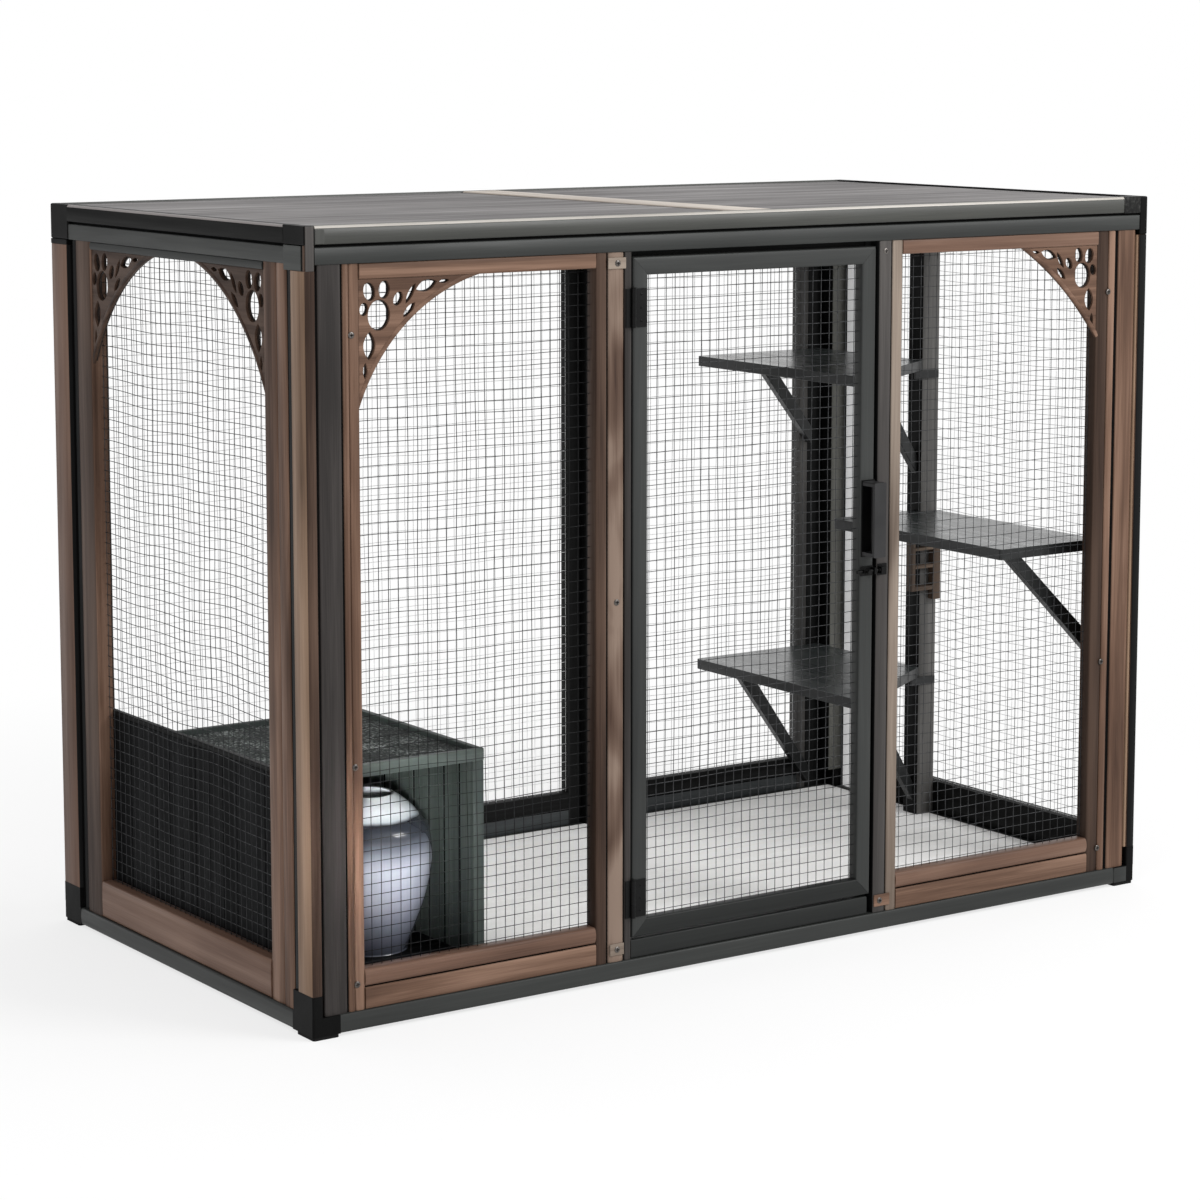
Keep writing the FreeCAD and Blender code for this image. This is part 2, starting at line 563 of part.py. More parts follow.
fixed, moving, pins = [], [], []
for tag, z in (("high", S.hinge_high), ("low", S.hinge_low)):
    top = z + S.hinge_tall
    a_out, a_in = knuckle("kn_a_" + tag, z, K)
    b_out, b_in = knuckle("kn_b_" + tag, top - K, K)
    plate = leaf_plate("leaf_f_" + tag, S.hinge_stile_start + 1, z, 13, S.hinge_tall)
    ta = leaf_plate("tongue_a_" + tag, S.hinge_stile_start + 14, z, S.hinge_axis - S.hinge_stile_start - 14, K)
    tb = leaf_plate("tongue_b_" + tag, S.hinge_stile_start + 14, top - K, S.hinge_axis - S.hinge_stile_start - 14, K)
    whole = fuse("fixed_leaf_%s_raw" % tag, [plate, ta, tb, a_out, b_out])
    bores = group("fixed_bores_" + tag, [a_in, b_in])
    fixed.append(cut("fixed_leaf_" + tag, whole, bores))
    c_out, c_in = knuckle("kn_c_" + tag, z + K + 0.5, S.hinge_tall - K * 2 - 1)
    dplate = leaf_plate("leaf_d_" + tag, S.hinge_axis + 7, z, 32, S.hinge_tall)
    dt = leaf_plate("tongue_d_" + tag, S.hinge_axis, z + K + 0.5, 7, S.hinge_tall - K * 2 - 1)
    dwhole = fuse("door_leaf_%s_raw" % tag, [dplate, dt, c_out])
    moving.append(cut("door_leaf_" + tag, dwhole, c_in))
    shank = rod("pin_shank_" + tag, S.hinge_axis, 0, z - 1, S.hinge_pin_radius, S.hinge_tall + 2)
    head = rod("pin_head_" + tag, S.hinge_axis, 0, top, S.hinge_radius - 1, 3)
    pins.append(fuse("pin_" + tag, [shank, head]))
node(group("hinge_fixed", fixed), "hinge_jamb_leaves")
node(group("hinge_moving", moving), "hinge_door_leaves")
node(group("hinge_pins_all", pins), "hinge_pins")

# pull: a channel grip, open towards the hinge side -------------------------------
PX, PW, PZ, PH, PO, WALL = S.pull_start, S.pull_wide, S.pull_bottom, S.pull_tall, S.pull_out, S.pull_wall
pull_body = prism("pull_body", "XZ_Plane", rect(0, 0, PW, PH), PO + S.face_in - 3, (PX, S.face_in - 3, PZ), radius=3)
hollow = block("pull_hollow", PX - 5, -PO + WALL, PZ + 10, PW + 5 - WALL, PO + S.face_in - WALL, PH - 20)
node(cut("pull", pull_body, hollow), "pull_handle")
node(block("pull_back", PX - 1, S.face_in - 3, PZ - 3, PW + 2, 3, PH + 6), "pull_backplate")

# slide bolt below the pull --------------------------------------------------------
BZ, BR, BX = S.bolt_level, S.bolt_radius, S.bolt_start
BY = E.of(-2.5)
stem = rod("bolt_stem", BX, BY, BZ, BR, S.bolt_length, ALONG_X)
knob_neck = rod("bolt_neck", BX + 26, BY - 14, BZ, 3, 14, ALONG_Y)
knob_head = rod("bolt_head", BX + 26, BY - 19, BZ, 6, 6, ALONG_Y)
node(fuse("bolt", [stem, knob_neck, knob_head]), "slide_bolt")


def loop(name, x, lx):
    ear = block(name + "_ear", x, BY - BR - 3.5, BZ - BR - 3.5, lx, S.face_in - 2 - BY + BR + 3.5, BR * 2 + 7)
    bore = rod(name + "_bore", x - 1, BY, BZ, BR + S.bolt_fit, E.of(lx) + 2, ALONG_X)
    return cut(name, ear, bore)


ear_a = loop("ear_a", S.bolt_start + 16, 6)
ear_b = loop("ear_b", S.bolt_start + 49, 6)
guide_plate = block("guide_plate", S.bolt_start + 16, S.face_in - 2, BZ - 12, 39, 2, 24)
node(fuse("guide", [guide_plate, ear_a, ear_b]), "bolt_guide")
keep_ear = block("keep_ear", S.strike_start + 3, BY - BR - 4, BZ - BR - 4, 14, S.face_in - 2 - BY + BR + 4, BR * 2 + 8)
keep_plate = block("keep_plate", S.strike_start + 3, S.face_in - 2, BZ - 14, 28, 2, 28)
keep_bore = rod("keep_bore", S.strike_start + 2, BY, BZ, BR + 0.8, 16, ALONG_X)
keep_all = fuse("keep_all", [keep_ear, keep_plate])
node(cut("keeper", keep_all, keep_bore), "bolt_keeper")

# shelves ---------------------------------------------------------------------------
def shelf(name, corners, level):
    x0, y0 = corners[0]
    pts = [(E.of(x) - x0, E.of(y) - y0) for x, y in corners]
    return prism(name, "XY_Plane", pts, S.shelf_thick, (x0, y0, level - S.shelf_thick), radius=8,
                 keep=lambda e: runs_along(e, "z") and e.BoundBox.XMax < 1)


LEDGE = [(S.shelf_start, S.shelf_front), (S.shelf_end, S.stanchion_y), (S.shelf_end, IN_BACK), (S.shelf_start, IN_BACK)]
WALL_X, POST_X, POST_Y = S.width - IN_FRONT, S.stanchion_x - 2, S.stanchion_y - 2
node(group("ledges", [shelf("shelf_u", LEDGE, S.upper_level), shelf("shelf_l", LEDGE, S.lower_level)]), "corner_shelves")
node(shelf("shelf_m", [(S.middle_start, S.middle_front), (WALL_X, S.middle_front), (WALL_X, POST_Y), (POST_X, POST_Y),
                       (POST_X, S.middle_back), (S.middle_start, S.middle_back)], S.middle_level), "middle_shelf")


def brace(name, x_top, x_foot, y, z_top, drop):
    """Diagonal bar: a level head under the shelf, an upright foot on its post."""
    b, run = S.brace_bar, E.of(x_foot) - x_top
    pts = [(0, 0), (run, -E.of(drop)), (run, -E.of(drop) + b * 1.35), (b * 1.25, 0)]
    return prism(name, "XZ_Plane", pts, S.brace_wide, (x_top, y, z_top), reverse=True)


ZU, ZL, ZM = [level - S.shelf_thick for level in (S.upper_level, S.lower_level, S.middle_level)]
node(group("braces_all", [
    brace("brace_ua", 2126, 2320, IN_BACK - S.brace_wide, ZU, 242),
    brace("brace_ub", 2170, S.stanchion_x, S.stanchion_y + 17, ZU, 290),
    brace("brace_la", 2042, 2320, IN_BACK - S.brace_wide, ZL, 375),
    brace("brace_lb", 2140, S.stanchion_x, S.stanchion_y + 17, ZL, 355),
    brace("brace_ma", 2128, WALL_X, 130, ZM, 285)]), "shelf_braces")
# ladder-like corbel on the stanchion, under the middle shelf
node(prism("corbel_body", "XZ_Plane", [(0, 180), (22, 180), (22, 28), (100, 28), (100, 0), (126, 0), (126, 180), (128, 180),
           (128, 217), (0, 217)], 22, (2296, S.stanchion_y, ZM - 217),
           holes=[rect(36, 40, 98, 90), rect(36, 100, 98, 140), rect(36, 148, 98, 176)]), "shelf_corbel")
node(group("cleats", [block("cleat_" + tag, S.stanchion_x - 30, S.stanchion_y - 6, z - 22, 84, 6, 22)
                      for tag, z in (("u", ZU), ("l", ZL))]), "shelf_cleats")

# floor panel let in between the base rails, its bearers, and the skirt board behind the left wire -----
FX0, FX1, FY0, FY1 = S.rail_depth + 1, S.width - S.rail_depth - 1, S.rail_depth + 1, S.depth - S.rail_depth - 1
NX, NY = S.shoe_len + 1, S.post_d + 5
node(prism("floor", "XY_Plane", [(NX, FY0), (S.width - NX, FY0), (S.width - NX, NY), (FX1, NY), (FX1, S.depth - NY),
                                 (S.width - NX, S.depth - NY), (S.width - NX, FY1), (NX, FY1), (NX, S.depth - NY),
                                 (FX0, S.depth - NY), (FX0, NY), (NX, NY)], S.floor_thick,
           (0, 0, S.base_top - S.floor_thick)), "floor_panel")
BEAR = S.base_top - S.floor_thick - S.foot_thick
node(group("bearers", [block("bearer_%d" % i, x, S.rail_depth, S.foot_thick, S.bearer_wide, S.depth - S.rail_depth * 2, BEAR)
                       for i, x in enumerate((400, 1216, 2032))]), "floor_bearers")
node(block("skirt", IN_FRONT, S.post_d + 4, S.base_top, S.skirt_thick, S.depth - S.post_d * 2 - 8, S.skirt_top - S.base_top),
     "side_skirt")

# den ---------------------------------------------------------------------------------
DX0, DX1, DY0, DY1, DT, BT = S.den_start, S.den_end, S.den_front, S.den_back, S.den_top_level, S.den_board
DLOW = S.base_top
DM = S.den_member
node(prism("den_front_frame", "XZ_Plane", rect(0, 0, DX1 - DX0, DT - DLOW), BT, (DX0, DY0, DLOW), reverse=True,
           holes=[rect(DM, BT, DX1 - DX0 - DM, DT - DLOW - DM)]), "den_front")
node(group("den_sides", [block("den_l", DX0, DY0 + BT, DLOW, BT, DY1 - DY0 - BT * 2, DT - DLOW),
                         block("den_r", DX1 - BT, DY0 + BT, DLOW, BT, DY1 - DY0 - BT * 2, DT - DLOW)]), "den_side_walls")
node(block("den_b", DX0, DY1 - BT, DLOW, DX1 - DX0, BT, DT - DLOW), "den_back_wall")
node(block("den_f", DX0 + BT, DY0 + BT, DLOW, DX1 - DX0 - BT * 2, DY1 - DY0 - BT * 2, S.den_floor_thick), "den_floor")
node(block("den_t", DX0 + BT, DY0 + BT, DT - S.den_rim - BT, DX1 - DX0 - BT * 2, DY1 - DY0 - BT * 2, BT), "den_top")
node(block("den_m", DX0 + BT + 2, DY0 + BT + 2, DT - S.den_rim, DX1 - DX0 - BT * 2 - 4, DY1 - DY0 - BT * 2 - 4, 5), "den_top_mat")

# urn: one turned wall, outside and inside -------------------------------------------
urn_body = doc.addObject("PartDesign::Body", "urn")
us = sketch(urn_body, "urn_profile", "XZ_Plane")
H = S.urn_tall
outline(us, [(0, 0), (82, 0), (89, 5), (95, 22), (109, 57), (130, 116), (142, 163), (150, 217), (149, 254), (142, 301),
             (125, 320), (100, 348), (76, 369), (66, H - 4), (60, H), (54, H - 4), (66, 360), (90, 336), (116, 308),
             (131, 292), (138, 254), (139, 217), (131, 163), (119, 116), (98, 57), (84, 26), (78, 12), (0, 12)])
rev = urn_body.newObject("PartDesign::Revolution", "urn_turn")
rev.Profile = us
rev.ReferenceAxis = (us, ["V_Axis"])
rev.Angle = 360
put(urn_body, S.urn_x, S.urn_y, DLOW + S.den_floor_thick)
node(urn_body, "ceramic_urn")

# screws: shallow round heads on the panel stiles -------------------------------------
heads = []
for i, (x, z) in enumerate([(118, 603), (118, 1560), (118, 110), (820, 1690), (820, 80), (820, 905), (1613, 1690), (1613, 80),
                            (2346, 603), (2346, 1560), (2346, 110)]):
    heads.append(rod("screw_%d" % i, x, S.face_in - 2, z, 5, 2, ALONG_Y))
node(group("screws", heads), "frame_screws")

# whole document sound before anything is written ---------------------------------------
doc.recompute()
bad = [o.Name for o in doc.Objects if "Invalid" in o.State or "Error" in o.State]
for o in NODES:
    if o.Shape.isNull() or not o.Shape.isValid() or o.Shape.Volume <= 0:
        bad.append(o.Label)
if bad:
    raise SystemExit("failed: " + ", ".join(bad))
os.makedirs("parts", exist_ok=True)
for o in NODES:
    o.Shape.exportStep("parts/%s.step" % o.Label)
whole = None
for o in NODES:
    b = o.Shape.BoundBox
    whole = b if whole is None else whole.united(b)
print(len(NODES), "nodes", whole)
for o in NODES:
    print("%-28s solids %3d volume %.0f" % (o.Label, len(o.Shape.Solids), o.Shape.Volume))
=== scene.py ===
import math

import bmesh
import bpy
from mathutils import Matrix, Vector


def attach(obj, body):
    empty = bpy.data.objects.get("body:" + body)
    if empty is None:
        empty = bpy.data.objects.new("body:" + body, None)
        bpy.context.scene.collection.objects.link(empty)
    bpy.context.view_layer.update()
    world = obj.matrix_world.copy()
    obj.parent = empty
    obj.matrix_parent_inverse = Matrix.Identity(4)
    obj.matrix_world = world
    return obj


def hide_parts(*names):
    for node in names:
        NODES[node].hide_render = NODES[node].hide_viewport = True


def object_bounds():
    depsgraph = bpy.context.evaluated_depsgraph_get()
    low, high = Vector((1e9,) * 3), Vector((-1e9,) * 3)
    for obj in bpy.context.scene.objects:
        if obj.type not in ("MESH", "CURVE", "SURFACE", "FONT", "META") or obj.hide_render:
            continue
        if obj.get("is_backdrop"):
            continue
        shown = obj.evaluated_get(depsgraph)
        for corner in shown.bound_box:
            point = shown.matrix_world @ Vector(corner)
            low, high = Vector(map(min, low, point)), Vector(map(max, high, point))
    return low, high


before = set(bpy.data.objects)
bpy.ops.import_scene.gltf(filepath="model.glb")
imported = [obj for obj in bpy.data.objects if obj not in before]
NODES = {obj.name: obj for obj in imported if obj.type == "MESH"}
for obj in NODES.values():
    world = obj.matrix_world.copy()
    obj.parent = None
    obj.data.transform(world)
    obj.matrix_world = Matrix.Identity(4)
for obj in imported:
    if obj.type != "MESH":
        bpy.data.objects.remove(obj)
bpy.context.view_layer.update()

# Sizes below are in millimetres from the left side (x), the front face (y) and the ground (z).
W, D, H = 2472.0, 1256.0, 1800.0


def wp(x, y, z):
    return Vector(((x - 1236.0) / 1000.0, (y - 606.0) / 1000.0, z / 1000.0))


# ---------------------------------------------------------------- materials
def new_mat(name):
    m = bpy.data.materials.new(name)
    m.use_nodes = True
    nt = m.node_tree
    return m, nt, nt.nodes["Principled BSDF"]


def n_add(nt, kind, **props):
    n = nt.nodes.new(kind)
    for k, v in props.items():
        setattr(n, k, v)
    return n


def noise(nt, vec, scale3, detail=3.0, rough=0.55, dist=0.0, offset=(0, 0, 0)):
    mp = n_add(nt, "ShaderNodeMapping")
    mp.inputs["Scale"].default_value = scale3
    mp.inputs["Location"].default_value = offset
    nt.links.new(vec, mp.inputs["Vector"])
    t = n_add(nt, "ShaderNodeTexNoise")
    t.inputs["Scale"].default_value = 1.0
    t.inputs["Detail"].default_value = detail
    t.inputs["Roughness"].default_value = rough
    t.inputs["Distortion"].default_value = dist
    nt.links.new(mp.outputs["Vector"], t.inputs["Vector"])
    return t.outputs["Fac"]


def math_node(nt, op, a, b=None, clamp=False):
    n = n_add(nt, "ShaderNodeMath", operation=op, use_clamp=clamp)
    for i, v in enumerate((a, b)):
        if v is None:
            continue
        if isinstance(v, (int, float)):
            n.inputs[i].default_value = v
        else:
            nt.links.new(v, n.inputs[i])
    return n.outputs[0]


def ramp(nt, fac, stops):
    r = n_add(nt, "ShaderNodeValToRGB")
    el = r.color_ramp.elements
    while len(el) < len(stops):
        el.new(0.5)
    for e, (pos, col) in zip(el, stops):
        e.position = pos
        e.color = (*col, 1.0)
    nt.links.new(fac, r.inputs["Fac"])
    return r.outputs["Color"]


def map_range(nt, v, a, b, c, d):
    n = n_add(nt, "ShaderNodeMapRange")
    nt.links.new(v, n.inputs["Value"])
    for i, x in zip((1, 2, 3, 4), (a, b, c, d)):
        n.inputs[i].default_value = x
    return n.outputs["Result"]


def bump(nt, bsdf, height, strength, distance):
    b = n_add(nt, "ShaderNodeBump")
    b.inputs["Strength"].default_value = strength
    b.inputs["Distance"].default_value = distance
    nt.links.new(height, b.inputs["Height"])
    nt.links.new(b.outputs["Normal"], bsdf.inputs["Normal"])


def wood(name, stops, rough=(0.32, 0.5), spec=0.5, coat=0.0, streak=34.0, mottle=5.0, weight=(0.5, 0.18, 0.42),
         bump_mm=0.25, fine=420.0, along=1.1):
    """Stained timber: long streaks, fine fibres and slow bands along each member's own length."""
    m, nt, p = new_mat(name)
    at = n_add(nt, "ShaderNodeAttribute", attribute_name="grain")
    v = at.outputs["Vector"]
    a = noise(nt, v, (1.3, streak, streak), 4.0, 0.6, 0.35)
    b = noise(nt, v, (7.0, fine, fine), 2.0, 0.6, 0.0, (3.1, 1.7, 0.4))
    c = noise(nt, v, (along, mottle, mottle), 2.0, 0.5, 0.6, (9.3, 4.2, 2.6))
    fac = math_node(nt, "MULTIPLY", a, weight[0])
    fac = math_node(nt, "ADD", fac, math_node(nt, "MULTIPLY", b, weight[1]))
    fac = math_node(nt, "ADD", fac, math_node(nt, "MULTIPLY", c, weight[2]))
    fac = map_range(nt, fac, 0.36, 0.74, 0.0, 1.0)
    nt.links.new(ramp(nt, fac, stops), p.inputs["Base Color"])
    nt.links.new(map_range(nt, a, 0.3, 0.7, rough[1], rough[0]), p.inputs["Roughness"])
    p.inputs["Specular IOR Level"].default_value = spec
    p.inputs["Coat Weight"].default_value = coat
    p.inputs["Coat Roughness"].default_value = 0.28
    h = math_node(nt, "ADD", math_node(nt, "MULTIPLY", b, 0.6), math_node(nt, "MULTIPLY", a, 0.5))
    bump(nt, p, h, 0.5, bump_mm / 1000.0)
    return m


def speckle(name, stops, scale, rough=(0.5, 0.7), spec=0.4, bump_mm=0.15, metallic=0.0, slow=9.0):
    """Grained moulding, coating or matting on object coordinates."""
    m, nt, p = new_mat(name)
    tc = n_add(nt, "ShaderNodeTexCoord")
    v = tc.outputs["Object"]
    a = noise(nt, v, (scale, scale, scale), 3.0, 0.6)
    c = noise(nt, v, (slow, slow, slow), 2.0, 0.5, 0.4, (2.0, 5.0, 1.0))
    fac = math_node(nt, "ADD", math_node(nt, "MULTIPLY", a, 0.65), math_node(nt, "MULTIPLY", c, 0.35))
    fac = map_range(nt, fac, 0.34, 0.68, 0.0, 1.0)
    nt.links.new(ramp(nt, fac, stops), p.inputs["Base Color"])
    nt.links.new(map_range(nt, c, 0.3, 0.7, rough[0], rough[1]), p.inputs["Roughness"])
    p.inputs["Specular IOR Level"].default_value = spec
    p.inputs["Metallic"].default_value = metallic
    bump(nt, p, a, 0.45, bump_mm / 1000.0)
    return m


BRONZE = wood("bronze_stain", [(0.0, (0.018, 0.0092, 0.0060)), (0.30, (0.060, 0.0325, 0.0215)), (0.62, (0.116, 0.066, 0.044)),
                               (1.0, (0.22, 0.134, 0.094))], spec=0.12, weight=(0.55, 0.14, 0.5))
# Darker copy of the bronze: painted shade for faces that fall in shadow, such as inner stile faces, the stile beside
# the door, the left side plates and the corner bead's front.
BRONZE_PAINTED_SHADE = wood("bronze_painted_shade", [(0.0, (0.011, 0.0066, 0.0048)), (0.4, (0.036, 0.0212, 0.0152)), (1.0, (0.096, 0.060, 0.043))],
                  spec=0.1, weight=(0.55, 0.14, 0.5))
# Deeper copy of the bronze: painted shade for the recessed band of the front right panel's far stile.
BRONZE_DEEP_PAINTED_SHADE = wood("bronze_deep_painted_shade", [(0.0, (0.0075, 0.0046, 0.0034)), (0.4, (0.024, 0.0142, 0.0104)), (1.0, (0.064, 0.0404, 0.0295))],
                   spec=0.08, weight=(0.55, 0.14, 0.5))
BRONZE_PINK = wood("bronze_pink", [(0.0, (0.064, 0.034, 0.0235)), (0.4, (0.126, 0.072, 0.050)), (1.0, (0.232, 0.146, 0.106))],
                   spec=0.14, weight=(0.35, 0.16, 0.5), mottle=3.0)
# Lighter copy of the bronze: a painted highlight for the front left post's side face and the thin strip in the right
# post's groove.
BRONZE_PAINTED_HIGHLIGHT = wood("bronze_painted_highlight", [(0.0, (0.090, 0.054, 0.034)), (0.45, (0.195, 0.124, 0.081)), (1.0, (0.32, 0.216, 0.146))],
                    spec=0.12, weight=(0.5, 0.14, 0.5))
BRONZE_PALE = wood("bronze_pale", [(0.0, (0.053, 0.038, 0.029)), (0.45, (0.128, 0.097, 0.076)), (1.0, (0.255, 0.207, 0.168))],
                   spec=0.15, weight=(0.5, 0.13, 0.6))
BRONZE_PATCHY = wood("bronze_patchy", [(0.0, (0.006, 0.0034, 0.0026)), (0.28, (0.022, 0.0112, 0.0082)), (0.45, (0.070, 0.042, 0.030)),
                                       (0.72, (0.120, 0.079, 0.059)), (1.0, (0.20, 0.145, 0.113))],
                     spec=0.12, weight=(0.45, 0.1, 0.8), mottle=7.0, along=3.6)
PLUM = wood("plum_stain", [(0.0, (0.011, 0.0096, 0.0091)), (0.45, (0.0235, 0.0204, 0.0192)), (1.0, (0.054, 0.0475, 0.045))], spec=0.15)
CHARCOAL = wood("charcoal_stain", [(0.0, (0.012, 0.0132, 0.0125)), (0.5, (0.021, 0.0228, 0.0215)), (1.0, (0.038, 0.0405, 0.038))],
                rough=(0.42, 0.55), spec=0.3, weight=(0.4, 0.2, 0.4), bump_mm=0.15)
FASCIA_GREY = wood("fascia_grey", [(0.0, (0.019, 0.0205, 0.0195)), (0.5, (0.033, 0.0355, 0.0335)), (1.0, (0.058, 0.0615, 0.058))],
                   rough=(0.42, 0.55), spec=0.3, weight=(0.4, 0.2, 0.4), bump_mm=0.15)
CHARCOAL_CAP = wood("charcoal_cap", [(0.0, (0.021, 0.022, 0.019)), (0.5, (0.039, 0.040, 0.035)), (1.0, (0.066, 0.066, 0.058))],
                    rough=(0.38, 0.5), spec=0.4, weight=(0.4, 0.2, 0.4), bump_mm=0.15)
# Near-black copy of the cap for the side rails: painted shade, the side caps made darker than the front ones.
CAP_PAINTED_SHADE = wood("cap_painted_shade", [(0.0, (0.0015, 0.0015, 0.0015)), (0.5, (0.0035, 0.0036, 0.0034)), (1.0, (0.008, 0.0082, 0.0078))],
                 rough=(0.4, 0.55), spec=0.07, bump_mm=0.1)
DOOR_GREY = wood("door_grey", [(0.0, (0.0148, 0.0158, 0.0152)), (0.5, (0.0266, 0.0284, 0.0272)), (1.0, (0.049, 0.0520, 0.0498))],
                 rough=(0.4, 0.52), spec=0.26, weight=(0.4, 0.2, 0.4), bump_mm=0.12)
SILL_BLACK = wood("sill_black", [(0.0, (0.0060, 0.0068, 0.0064)), (0.5, (0.0112, 0.0125, 0.0118)), (1.0, (0.0215, 0.0235, 0.0223))],
                  rough=(0.4, 0.52), spec=0.22, weight=(0.4, 0.2, 0.4), bump_mm=0.12)
STRIKE_GREY = wood("strike_grey", [(0.0, (0.021, 0.0185, 0.0172)), (0.5, (0.041, 0.0365, 0.0342)), (1.0, (0.078, 0.071, 0.066))],
                   rough=(0.4, 0.52), spec=0.26, weight=(0.5, 0.2, 0.4), bump_mm=0.12)
BLACK_WOOD = wood("black_stain", [(0.0, (0.0018, 0.0018, 0.0018)), (0.5, (0.0048, 0.0050, 0.0050)), (1.0, (0.0125, 0.013, 0.013))],
                  rough=(0.45, 0.6), spec=0.1, bump_mm=0.15)
BLUE_GREY = wood("blue_grey_stain", [(0.0, (0.020, 0.0235, 0.025)), (0.5, (0.036, 0.041, 0.043)), (1.0, (0.060, 0.067, 0.070))],
                 rough=(0.4, 0.52), spec=0.3, weight=(0.4, 0.2, 0.4), bump_mm=0.12)
POST_GREY = wood("post_grey", [(0.0, (0.020, 0.0195, 0.0185)), (0.5, (0.046, 0.044, 0.042)), (1.0, (0.090, 0.085, 0.080))],
                 rough=(0.4, 0.55), spec=0.3)
STANCHION_GREY = wood("stanchion_grey", [(0.0, (0.042, 0.041, 0.0385)), (0.5, (0.090, 0.087, 0.083)), (1.0, (0.16, 0.154, 0.147))],
                      rough=(0.4, 0.55), spec=0.25)
CORNER_GREY = wood("corner_grey", [(0.0, (0.050, 0.050, 0.045)), (0.5, (0.098, 0.098, 0.088)), (1.0, (0.16, 0.16, 0.143))],
                   rough=(0.4, 0.55), spec=0.2)
# A white copy for the inner face of the right panel's far stile: a painted lit face.
PAINTED_LIGHT_STILE = wood("painted_light_stile", [(0.0, (0.70, 0.70, 0.70)), (0.5, (0.82, 0.82, 0.825)), (1.0, (0.90, 0.90, 0.905))],
                  rough=(0.45, 0.6), spec=0.3, weight=(0.4, 0.2, 0.45), bump_mm=0.1)
ROOF = wood("roof_board", [(0.0, (0.066, 0.061, 0.0615)), (0.35, (0.122, 0.114, 0.113)), (0.7, (0.195, 0.184, 0.182)),
                           (1.0, (0.295, 0.282, 0.277))], rough=(0.5, 0.7), spec=0.25, streak=22.0, mottle=4.0, bump_mm=0.6, fine=260.0)
BEIGE = wood("beige_trim", [(0.0, (0.36, 0.30, 0.245)), (0.5, (0.55, 0.48, 0.405)), (1.0, (0.74, 0.675, 0.59))],
             rough=(0.35, 0.5), weight=(0.3, 0.25, 0.45), bump_mm=0.1)
# Pale beads along the top edge of the caps: painted highlights where the cap edges catch the light.
GREY_HIGHLIGHT_BEAD = wood("grey_painted_highlight_bead", [(0.0, (0.27, 0.25, 0.222)), (0.5, (0.42, 0.396, 0.36)), (1.0, (0.60, 0.572, 0.53))],
                 rough=(0.35, 0.5), weight=(0.3, 0.25, 0.45), bump_mm=0.1)
PINK_HIGHLIGHT_BEAD = wood("pink_painted_highlight_bead", [(0.0, (0.16, 0.142, 0.137)), (0.5, (0.25, 0.226, 0.219)), (1.0, (0.36, 0.332, 0.323))],
                 rough=(0.35, 0.5), weight=(0.3, 0.25, 0.45), bump_mm=0.1)
FLOORBOARD = wood("pale_floorboard", [(0.0, (0.79, 0.78, 0.76)), (0.5, (0.87, 0.862, 0.85)), (1.0, (0.93, 0.925, 0.915))],
                  rough=(0.5, 0.65), spec=0.25, weight=(0.4, 0.2, 0.45), bump_mm=0.1)
# The floorboards give off a faint light of their own, though they are no lamp: painted light that brightens the floor
# shaded by the roof.
glow = FLOORBOARD.node_tree.nodes["Principled BSDF"]
glow.inputs["Emission Color"].default_value = (1.0, 0.995, 0.985, 1.0)
glow.inputs["Emission Strength"].default_value = 0.13
# The pale stile also gives off light of its own: painted light on that inner face.
glow = PAINTED_LIGHT_STILE.node_tree.nodes["Principled BSDF"]
glow.inputs["Emission Color"].default_value = (1.0, 1.0, 1.0, 1.0)
glow.inputs["Emission Strength"].default_value = 0.3
SHELF = wood("shelf_stain", [(0.0, (0.0055, 0.0060, 0.0062)), (0.5, (0.0115, 0.0124, 0.0127)), (1.0, (0.024, 0.0258, 0.026))],
             rough=(0.3, 0.45), spec=0.3, coat=0.12, bump_mm=0.15)
# Lighter, glossier copy of the shelf stain for the upward faces: a painted sheen on the shelf tops.
SHELF_TOP_PAINTED_SHEEN = wood("shelf_top_painted_sheen", [(0.0, (0.021, 0.0245, 0.0247)), (0.5, (0.042, 0.0485, 0.0488)), (1.0, (0.078, 0.088, 0.0885))],
                 rough=(0.22, 0.36), spec=0.5, coat=0.3, weight=(0.4, 0.15, 0.5), bump_mm=0.1)
RUST = wood("rust_stain", [(0.0, (0.024, 0.0145, 0.0092)), (0.5, (0.076, 0.048, 0.031)), (1.0, (0.18, 0.128, 0.086))],
            rough=(0.4, 0.6), spec=0.3, bump_mm=0.4)
DEN = wood("den_frame_stain", [(0.0, (0.026, 0.034, 0.031)), (0.5, (0.046, 0.058, 0.053)), (1.0, (0.078, 0.095, 0.087))],
           rough=(0.45, 0.6), spec=0.3, bump_mm=0.2)
DEN_PLANK = wood("den_plank_stain", [(0.0, (0.034, 0.043, 0.039)), (0.5, (0.068, 0.083, 0.076)), (1.0, (0.115, 0.137, 0.126))],
                 rough=(0.45, 0.62), spec=0.3, bump_mm=0.3)
DEN_DARK = wood("den_dark_plank", [(0.0, (0.0025, 0.0026, 0.0028)), (0.5, (0.0058, 0.0062, 0.0066)), (1.0, (0.0125, 0.0132, 0.014))],
                rough=(0.5, 0.65), spec=0.05, bump_mm=0.3)
PIERCED_DARK = wood("pierced_dark", [(0.0, (0.006, 0.004, 0.0035)), (0.5, (0.018, 0.012, 0.0095)), (1.0, (0.042, 0.029, 0.023))],
                    rough=(0.45, 0.6), spec=0.25)
JOINT = speckle("joint_black", [(0.0, (0.0006, 0.0006, 0.0006)), (1.0, (0.0035, 0.0035, 0.0035))], 300, (0.7, 0.9), 0.05)
WIRE = speckle("wire_coat", [(0.0, (0.012, 0.0125, 0.0135)), (0.5, (0.026, 0.0272, 0.029)), (1.0, (0.055, 0.057, 0.060))], 60,
               (0.4, 0.55), 0.3, 0.05, 0.15, 3.0)
